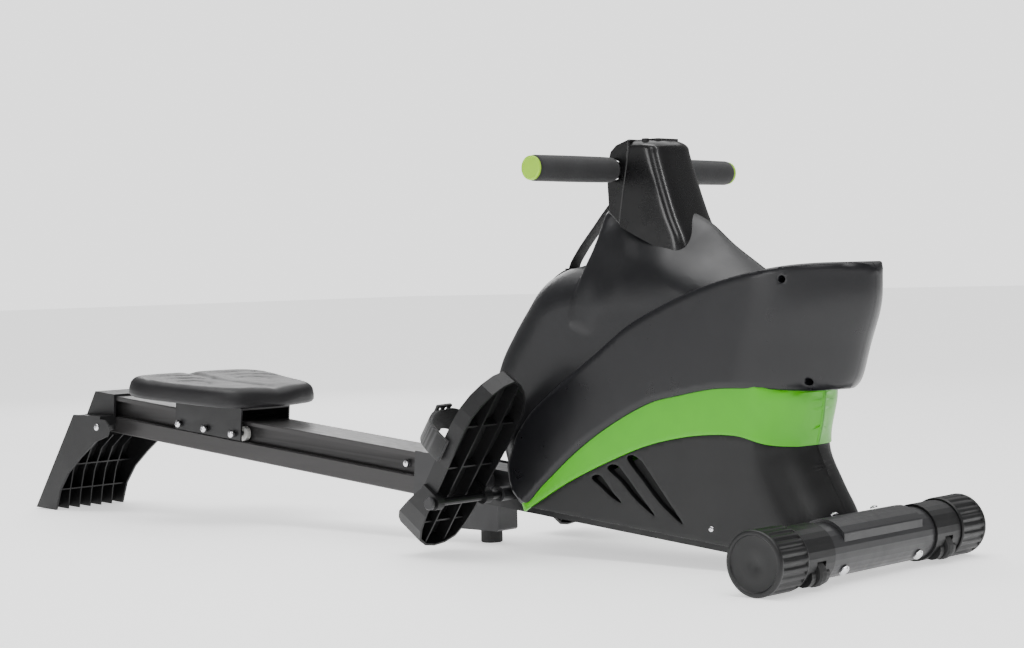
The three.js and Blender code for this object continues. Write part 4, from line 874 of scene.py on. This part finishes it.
def visor_height(flat):
    tip = np.interp(flat[:, 1], VISOR_TIP[::-1, 1], VISOR_TIP[::-1, 0])
    back = (flat[:, 0] - (tip - VISOR_REACH)) / VISOR_REACH
    plan = VISOR_HALF * np.sqrt(np.clip(1 - np.clip(back, 0, 1) ** 2, 0, 1))
    rim = distance_to(flat, VISOR_EDGE, closed=False)
    return np.clip(plan - VISOR_RIM_DROP * (1 - quarter(rim / VISOR_RIM)), 0.0002, None)


VISOR_TIP = catmull(VISOR_FRONT, 0.004)
VISOR_EDGE = np.vstack([catmull(VISOR_LOW, 0.005)[:-1], catmull(VISOR_TOP, 0.005)])


def make_visor(name, side):
    outline = np.vstack([catmull(VISOR_TOP, 0.004)[:-1], catmull(VISOR_FRONT, 0.004)[:-1],
                         catmull(VISOR_LOW, 0.004)[:-1]])
    holes = [screw_hole(-66, 400), screw_hole(-43, 262)]
    # the front line, closed far behind the visor so that only its nose gets rings
    back = np.array([(VISOR_TIP[-1][0] - 0.7, 0.0), (VISOR_TIP[0][0] - 0.7, 0.7)])
    top = VISOR_TIP[0] + (VISOR_TIP[0] - VISOR_TIP[1]) * 30
    low = VISOR_TIP[-1] + (VISOR_TIP[-1] - VISOR_TIP[-2]) * 30
    closed_front = np.vstack([[top], VISOR_TIP, [low], back])
    piece = panel(f"{name}_visor_skin", outline, visor_height, on_side(side), MAT["visor"],
                  "frame", holes=holes, spacing=0.0055,
                  levels=[(closed_front, NOSE_RINGS)], edge=SKIN_EDGE,
                  under=lambda p: np.clip(upper_height(p) - 0.002, 0.0002, None))
    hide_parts(f"{name}_visor")


def screw_hole(x, z, radius=5.0):
    return [(TUBE_X + (x + radius * math.cos(a)) * MM, (z + radius * math.sin(a)) * MM)
            for a in np.radians(np.arange(0, 360, 20))]


# ---------------------------------------------------------------- head

HEAD_FRONT = place([(-302, 592), (-297, 575), (-284, 535), (-268, 492), (-255, 464), (-251, 450)])
HEAD_SEAM = np.array(place([(-371, 481), (-360.5, 536), (-350, 591), (-350, 606)]))
HEAD_REACH = 0.026


def head_half(z):
    """The head flares from its top to its foot."""
    return 0.0455 + 0.0033 * np.clip((0.600 - z) / 0.150, 0, 1)


def head_ring(share, lift):
    """One level of the hood, from the right seam round the nose to the left seam.

    share runs from the lower edge to the shoulder, and lift from the shoulder to the crown."""
    sides = np.linspace(0, 1, 9)[:-1]
    turns = np.radians(np.linspace(90, 0, 17))
    run = np.concatenate([sides, np.ones(len(turns))])
    turn = np.concatenate([np.full(len(sides), math.pi / 2), turns])
    foot = np.interp(run, [0, 0.35, 0.75, 1], [0.4812, 0.4655, 0.4475, 0.4405])
    foot = foot + 0.016 * np.cos(turn) ** 1.5
    shoulder = 0.5905 - 0.0065 * np.clip(np.cos(turn), 0, 1)
    z = foot + share * (shoulder - foot)
    seam = np.interp(z, HEAD_SEAM[:, 1], HEAD_SEAM[:, 0])
    tip = np.interp(z, HEAD_TIP[::-1, 1], HEAD_TIP[::-1, 0])
    nose = tip - HEAD_REACH + HEAD_REACH * np.cos(turn).clip(0) ** (2 / 2.7)
    x = np.where(turn < math.pi / 2, nose, seam + run * (tip - HEAD_REACH - seam))
    y = head_half(z) * np.sin(turn) ** (2 / 3.1)
    if lift:
        inset = 1 - math.cos(lift) ** (2 / 2.5)
        x = x - (x - seam) * 0.42 * inset * np.linspace(0, 1, len(x)) ** 0.8
        y = y * (1 - inset)
        z = z + (HEAD_CREST - z - 0.006 * ((x - seam) / 0.05).clip(0, 1) ** 2) \
            * math.sin(lift) ** (2 / 2.5)
    near = np.column_stack([x, -y, z])
    return np.vstack([near[:-1], np.column_stack([x, y, z])[::-1]])


HEAD_TIP = catmull(HEAD_FRONT, 0.003)
HEAD_CREST = 0.6058


def rear_outline(below, radius, above):
    """The side of the head's rear, with the cradle that the handle lies in."""
    return place(below) + arc_about(HANDLE_X, HANDLE_Z, radius, -100, 90, 13) + place(above)


def make_head():
    levels = [head_ring(share, 0) for share in np.linspace(0, 1, 26)]
    levels += [head_ring(1, lift) for lift in np.radians(np.linspace(0, 90, 13)[1:])]
    wide = len(levels[0])
    under = levels[0] * (0.985, 0.93, 1) + (0.015 * levels[0][:, 0].mean(), 0, 0.0015)
    rows = [under] + levels
    faces = [(k * wide + j, k * wide + j + 1, (k + 1) * wide + j + 1, (k + 1) * wide + j)
             for k in range(len(rows) - 1) for j in range(wide - 1)]
    hood = joined(new_object("console_hood_skin", np.vstack(rows), faces, MAT["head"], "frame"), 2e-5, closed=False)
    sharpen(hood, 50)
    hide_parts("console_hood")
    strip = rear_outline([(-371.7, 481), (-392, 500), (-394.5, 546)], 0.0142,
                         [(-391, 576.2), (-387, 589), (-376, 598), (-351, 605.6), (-351, 591)])
    low = rear_outline([(-371.7, 481), (-384, 494), (-387.5, 544)], 0.0172,
                       [(-388, 579.2), (-385, 588), (-375, 597), (-351, 604.6), (-351, 591)])
    for name, side in SIDES:
        piece = prism(f"{name}_console_rear", strip, 0.0155, 0.0462, on_side(side), MAT["head"],
                      "frame", bevel=0.0032, segments=4)
        if side < 0:
            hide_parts("console_rear_panel")
    prism("console_strap_channel", low, -0.0155, 0.0155, on_side(-1), MAT["plastic"], "frame",
          bevel=0.001, segments=2)
    make_display()


def make_display():
    """The glass of the display in its bezel, on top of the head."""
    x = TUBE_X - 0.33

    def flat(u, v, h):
        return np.column_stack([u, v, h])

    def rounded(half_x, half_y, r):
        corners = [(half_x - r, half_y - r, 0), (-half_x + r, half_y - r, 90),
                   (-half_x + r, -half_y + r, 180), (half_x - r, -half_y + r, 270)]
        return [(x + cx + r * math.cos(math.radians(a0 + k * 22.5)),
                 cy + r * math.sin(math.radians(a0 + k * 22.5)))
                for cx, cy, a0 in corners for k in range(5)]

    prism("display_bezel", rounded(0.0155, 0.0245, 0.004), 0.6000, 0.6048, flat, MAT["plastic"],
          "frame", bevel=0.0006)
    glass = prism("display_glass", rounded(0.0130, 0.0220, 0.002), 0.6005, 0.6051, flat,
                  MAT["lcd"], "frame", bevel=0.0004)
    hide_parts("lcd_window")


# ---------------------------------------------------------------- strap guide, handle and strap

SPINE = place([
    (-404, 512), (-420, 490), (-436, 456), (-449, 430), (-470, 421), (-498, 420), (-530, 403),
    (-560, 369), (-588, 333), (-617, 288), (-632, 235), (-620, 165), (-606, 120)])
SLOT_X, SLOT_Z = TUBE_X - 0.500, 0.4212


def make_spine():
    """The glossy guide over the rear seam, with a near-black plate of painted shade where the tow strap comes out
    of its slot.
    """
    line = catmull(SPINE, 0.006)
    path = [(x, 0, z) for x, z in line]
    out = -normals_of(path)
    half = 0.020
    across = [-half, -half + 0.0004, -half + 0.0016, -0.0145, 0, 0.0145, half - 0.0016,
              half - 0.0004, half]
    rise = [-0.0045, -0.0008, 0.0012, 0.0016, 0.0018, 0.0016, 0.0012, -0.0008, -0.0045]
    section = list(zip(across, rise)) + [(half - 0.001, -0.0047), (-half + 0.001, -0.0047)]
    piece = ribbon("strap_guide_skin", path, out, (0, 1, 0), section, MAT["gloss"], "frame")
    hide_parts("strap_guide")
    # a near-black plate on the guide stands for the slot's opening: painted shade in the hole
    lip = [(SLOT_X + dx, y) for dx, y in (
        (-0.0065, -0.012), (-0.0045, -0.0155), (0.0045, -0.0155), (0.0065, -0.012),
        (0.0065, 0.012), (0.0045, 0.0155), (-0.0045, 0.0155), (-0.0065, 0.012))]
    slope = math.atan2(-0.001, 0.028)
    mouth = Matrix.Translation((SLOT_X, 0, SLOT_Z)) @ Matrix.Rotation(slope, 4, "Y") \
        @ Matrix.Translation((-SLOT_X, 0, 0))
    prism("strap_slot_painted_shade", lip, -0.001, 0.0012, in_matrix(mouth), MAT["dark"], "frame",
          bevel=0.0006, segments=2)


def make_handle():
    bevelled(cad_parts["handle_bar"], 0.001)
    length, inner, outer = 0.170, 0.052, 0.222
    for name, side in SIDES:
        profile = [(0.0125, inner), (0.0155, inner), (0.0172, inner + 0.0012),
                   (0.0181, inner + 0.005)]
        profile += [(0.0183 + 0.0004 * math.sin(math.pi * k / 12), inner + 0.008
                     + (length - 0.016) * k / 12) for k in range(1, 12)]
        profile += [(0.0183, outer - 0.005), (0.0178, outer - 0.002), (0.0165, outer - 0.0004),
                    (0.0125, outer)]
        grip = lathe(f"{name}_foam_grip", profile, (HANDLE_X, 0, HANDLE_Z), (0, side, 0),
                     MAT["foam"], "handle", sides=56)
        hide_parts(f"{name}_grip")
        cap = [(0.0126, 0.2222), (0.0168, 0.2223), (0.0172, 0.2232), (0.0170, 0.2258),
               (0.0160, 0.2268), (0.0148, 0.2271), (0.0140, 0.2264), (0.0060, 0.2263),
               (0.0001, 0.2266)]
        end = lathe(f"{name}_grip_end", cap, (HANDLE_X, 0, HANDLE_Z), (0, side, 0), MAT["lime"],
                    "handle", sides=48)
        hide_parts(f"{name}_grip_cap")
        ring = [(0.0128, 0.0495), (0.0150, 0.0492), (0.0158, 0.0500), (0.0158, 0.0510),
                (0.0150, 0.0518), (0.0128, 0.0515)]
        lathe(f"{name}_grip_ring", ring, (HANDLE_X, 0, HANDLE_Z), (0, side, 0), MAT["plastic"],
              "handle", sides=40)


def make_tow_strap():
    """The strap runs from the drum through the slot to the bar."""
    drum = np.array((TUBE_X - 0.3643, 0.2598))
    run = [drum, (TUBE_X - 0.486, 0.381), (TUBE_X - 0.5005, 0.404), (TUBE_X - 0.499, 0.424),
           (TUBE_X - 0.484, 0.446), (TUBE_X - 0.440, 0.493), (TUBE_X - 0.3965, 0.541),
           (TUBE_X - 0.3950, 0.556)]
    line = catmull(run, 0.004)
    path = [(x, 0, z) for x, z in line]
    strap = ribbon("tow_webbing", path, normals_of(path), (0, 1, 0),
                   [(a, h - 0.001) for a, h in strap_section(0.012, 0.002)], MAT["tow_web"],
                   None)
    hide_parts("tow_strap")
    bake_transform(strap)
    loop = [(0.0123, -0.012), (0.0136, -0.0121), (0.0143, -0.0112), (0.0143, 0.0112),
            (0.0136, 0.0121), (0.0123, 0.012)]
    lathe("tow_loop", loop + [loop[0]], (HANDLE_X, 0, HANDLE_Z), (0, 1, 0), MAT["tow_web"],
          "handle", sides=48)


# ---------------------------------------------------------------- stabiliser

def make_end_caps():
    ribs, radius, length = 22, 0.0433, 0.0637

    def ribbed(angle, along):
        on_ribs = 0.0035 < along < length - 0.0065
        wave = 0.5 + 0.5 * math.cos(angle * ribs)
        groove = max(0.0, (wave - 0.45) / 0.55) ** 0.6
        return 1 - (0.052 * groove if on_ribs else 0)

    profile = [(0.037, 0.0), (0.0418, 0.0), (0.0428, 0.0012), (0.0430, 0.0034),
               (0.0430, 0.0040), (0.0430, 0.020), (0.0430, 0.040), (0.0430, length - 0.0070),
               (0.0430, length - 0.0064), (radius, length - 0.0060), (radius, length - 0.0030),
               (radius - 0.0008, length - 0.0012), (radius - 0.0024, length - 0.0003),
               (radius - 0.0048, length), (radius - 0.0062, length - 0.0004),
               (radius - 0.0074, length - 0.0022), (radius - 0.0092, length - 0.0026),
               (0.022, length - 0.0024), (0.009, length - 0.0022), (0.007, length - 0.0030),
               (0.0001, length - 0.0030)]
    for name, side in SIDES:
        cap = lathe(f"{name}_ribbed_cap", profile, (TUBE_X, side * 0.1863, TUBE_Z),
                    (0, side, 0), MAT["plastic"], f"{name}_cap",
                    sides=ribs * 8, shape=ribbed)
        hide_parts(f"{name}_end_cap")
        bevelled(cap, 0.0004, 2, angle=50)


# ---------------------------------------------------------------- seat

def seat_outline():
    half = [(-1184, 0), (-1190, 54), (-1208, 98), (-1299, 132), (-1393, 150), (-1434, 129),
            (-1450, 75), (-1446, 0)]
    mirrored = [(x, -y) for x, y in half[1:-1]][::-1]
    return catmull([(x * MM, y * MM) for x, y in half + mirrored], 0.006, closed=True)


def make_seat():
    outline = seat_outline()
    low, high = 0.0922, 0.1276

    def height(flat):
        d = signed(flat, outline)
        x, y = flat[:, 0], np.abs(flat[:, 1])
        top = low + 0.014 + (high - low - 0.014) * quarter(d / 0.020)
        # a hollow for each thigh, and a channel between them
        hollow = np.exp(-(((x + 1.338) / 0.085) ** 2 + ((y - 0.068) / 0.058) ** 2) * 1.1)
        top -= 0.0085 * hollow * np.clip(d / 0.03, 0, 1)
        channel = np.exp(-(y / 0.012) ** 2) * np.clip((x + 1.19) / -0.05, 0, 1)
        top -= 0.0055 * channel * np.clip(d / 0.025, 0, 1)
        # three curved grooves across the rear of each hollow
        r = np.hypot((x + 1.338) / 1.05, y - 0.070)
        back = np.clip((-x - 1.300) / 0.02, 0, 1)
        for radius in (0.030, 0.0516, 0.0732):
            groove = np.exp(-((r - radius) / 0.0022) ** 2)
            top -= 0.0016 * groove * back * np.clip(d / 0.02, 0, 1)
        top -= 0.006 * np.clip((x + 1.230) / 0.045, 0, 1) * np.clip(1 - y / 0.05, 0, 1)
        return top

    def under(flat):
        d = signed(flat, outline)
        return low + 0.006 * (1 - quarter(d / 0.012))

    piece = panel("moulded_seat", outline, height, in_matrix(ON_BEAM), MAT["seat"], "seat",
                  spacing=0.0052, levels=[(outline, rings(0.020, 6))],
                  edge=0.0, under=under, closed=True)
    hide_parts("seat")


def dome_bolt(name, centre, axis, radius, body):
    """A domed screw head with a round socket, sunk slightly into what it holds."""
    seat, rise, socket = 0.0006, radius * 0.45, radius * 0.36
    angles = [math.pi / 2 * k / 6 for k in range(1, 5)]
    profile = [(radius, -seat), (radius, seat)]
    profile += [(radius * math.cos(a), seat + rise * math.sin(a)) for a in angles]
    profile += [(socket, seat + rise), (socket, seat + rise - radius * 0.30),
                (0.0001, seat + rise - radius * 0.30)]
    return lathe(name, profile, centre, axis, MAT["chrome"], body, sides=24)


def on_beam(s, y, h):
    return tuple(ON_BEAM @ Vector((-s, y, h)))


def beam_direction(x, y, z):
    return tuple(ON_BEAM.to_3x3() @ Vector((x, y, z)))


def make_bolts():
    for name, side in SIDES:
        for k, s in enumerate((1.242, 1.315, 1.385)):
            dome_bolt(f"{name}_carriage_bolt_{k}", on_beam(s, side * 0.0602, 0.0433),
                      (0, side, 0), 0.0068, "seat")
        dome_bolt(f"{name}_leaf_bolt", (TUBE_X - 1.585, side * 0.0782, 0.158), (0, side, 0),
                  0.0065, "rail")
        dome_bolt(f"{name}_saddle_bolt", (TUBE_X - 0.013, side * 0.048, 0.0852), (-0.3, 0, 1),
                  0.0052, "frame")
        for k, s in enumerate((1.596, 1.622)):
            dome_bolt(f"{name}_rail_bolt_{k}", on_beam(s, side * 0.020, 0.0672),
                      beam_direction(0, 0, 1), 0.0058, "rail")
        dome_bolt(f"{name}_lower_screw_front", (TUBE_X - 0.194, side * 0.0795, 0.058),
                  (0, side, 0), 0.0042, "frame")


# ---------------------------------------------------------------- pedals

PEDAL_TILT = math.radians(55.4)
PEDAL_WIDTH, PEDAL_MID = 0.118, 0.153


def pedal_matrix(side):
    return Matrix.Translation((TUBE_X - 0.600, side * PEDAL_MID, 0.085)) \
        @ Matrix.Rotation(-PEDAL_TILT, 4, "Y")


def make_foot_straps():
    for name, side in SIDES:
        m = pedal_matrix(side)
        w, base, arch = PEDAL_WIDTH / 2, 0.033, 0.062
        edge = w + 0.0018
        half = [(-edge, base - 0.011), (-edge, base + 0.008), (-edge * 0.86, base + arch * 0.62),
                (-edge * 0.45, base + arch - 0.005), (0, base + arch - 0.0002)]
        line = catmull(half + [(-y, n) for y, n in half[-2::-1]], 0.005)
        local = [(0.078 + 0.0012 * math.sin(9 * y / w), y, n) for y, n in line]
        turn = m.to_3x3()
        along = turn @ Vector((1, 0, 0))
        outs = [turn @ Vector((0, -t[2], t[1])).normalized()
                for t in np.gradient(np.array(local), axis=0)]
        path = [m @ Vector(p) for p in local]
        section = [(a, h - 0.0014) for a, h in strap_section(0.0188, 0.0028)]
        strap = ribbon(f"{name}_strap_webbing", path, outs, along, section, MAT["foot_web"],
                       f"{name}_pedal")
        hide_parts(f"{name}_foot_strap")
        # a second layer: the strap's free end lies back over the arch on the outer side
        over = [i for i, (y, n) in enumerate(line) if side * y > 0.010]
        lay = outs[over[0]:over[-1] + 1]
        raised = [p + o * 0.0030 for p, o in zip(path[over[0]:over[-1] + 1], lay)]
        ribbon(f"{name}_strap_end", raised, lay, along,
               [(a * 0.96, h - 0.0013) for a, h in strap_section(0.0188, 0.0024)],
               MAT["foot_web"], f"{name}_pedal")
        k = min(range(len(line)), key=lambda i: abs(side * line[i][0] - 0.006))
        buckle(f"{name}_buckle", path[k], outs[k], along.normalized(), f"{name}_pedal")


def buckle(name, at, out, along, body):
    """A ladder buckle on the strap: three bars between two side pieces."""
    across = out.cross(along).normalized()
    basis = Matrix((along, across, out)).transposed().to_4x4()
    put = in_matrix(Matrix.Translation(at + out * 0.0026) @ basis)
    bars = [(f"bar_{k}", -0.0225, 0.0225, y, y + 0.006, 0.0, 0.0042)
            for k, y in enumerate((-0.016, -0.003, 0.010))]
    ends = [(f"side_{k}", x, x + 0.004, -0.016, 0.016, -0.0006, 0.0046)
            for k, x in enumerate((-0.0245, 0.0205))]
    for part, x0, x1, y0, y1, low, high in bars + ends:
        prism(f"{name}_{part}", [(x0, y0), (x1, y0), (x1, y1), (x0, y1)], low, high, put,
              MAT["plastic"], body, bevel=0.0012)


# ---------------------------------------------------------------- CAD nodes that stay

# each node's material, and the width of its bevel
KEPT = {
    "stabiliser_tube": ("steel", 0), "main_beam": ("steel", 0.0012),
    "support_post": ("steel", 0.0015), "centre_foot": ("rubber", 0.0008),
    "rail": ("rail", 0.0006), "rail_sleeve": ("steel", 0.0012), "hinge_pin": ("chrome", 0.0008),
    "lock_knob": ("plastic", 0.001), "rail_stop_bolt": ("chrome", 0.0006),
    "rear_foot": ("plastic", 0.0012), "seat_carriage": ("steel", 0.001),
    "pedal_axle": ("steel", 0.0008), "mode_button": ("plastic", 0.0006),
    "tension_knob": ("plastic", 0.0008), "flywheel": ("iron", 0.0008),
    "flywheel_axle": ("chrome", 0.0005), "strap_drum": ("plastic", 0.0006),
    "drum_axle": ("chrome", 0.0005), "drive_belt": ("rubber", 0),
    "magnet_bracket": ("iron", 0.0006), "recoil_spring": ("iron", 0), "handle_bar": ("steel", 0)}
KEPT_ON_BOTH_SIDES = {
    "stabiliser_collar": ("plastic", 0.0008), "transport_wheel": ("rubber", 0.0006),
    "wheel_pin": ("chrome", 0.0005), "stabiliser_bolt": ("chrome", 0.0005),
    "pedal": ("plastic", 0.0008), "front_roller": ("nylon", 0.0008),
    "middle_roller": ("nylon", 0.0008), "rear_roller": ("nylon", 0.0008)}


def dress_frame():
    for kind, look in KEPT_ON_BOTH_SIDES.items():
        for name, _ in SIDES:
            KEPT[f"{name}_{kind}"] = look
    for name, (material, width) in KEPT.items():
        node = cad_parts[name]
        node.data.materials.clear()
        node.data.materials.append(MAT[material])
        node.data.polygons.foreach_set("use_smooth", [True] * len(node.data.polygons))
        if width:
            bevelled(node, width, 2, angle=32)


make_camera()
make_stage()
make_materials()
dress_frame()
for name, side in SIDES:
    make_upper_shell(name, side)
    make_lower_shell(name, side)
    make_band(name, side)
    make_visor(name, side)
make_head()
make_spine()
make_handle()
make_tow_strap()
make_end_caps()
make_seat()
make_bolts()
make_foot_straps()
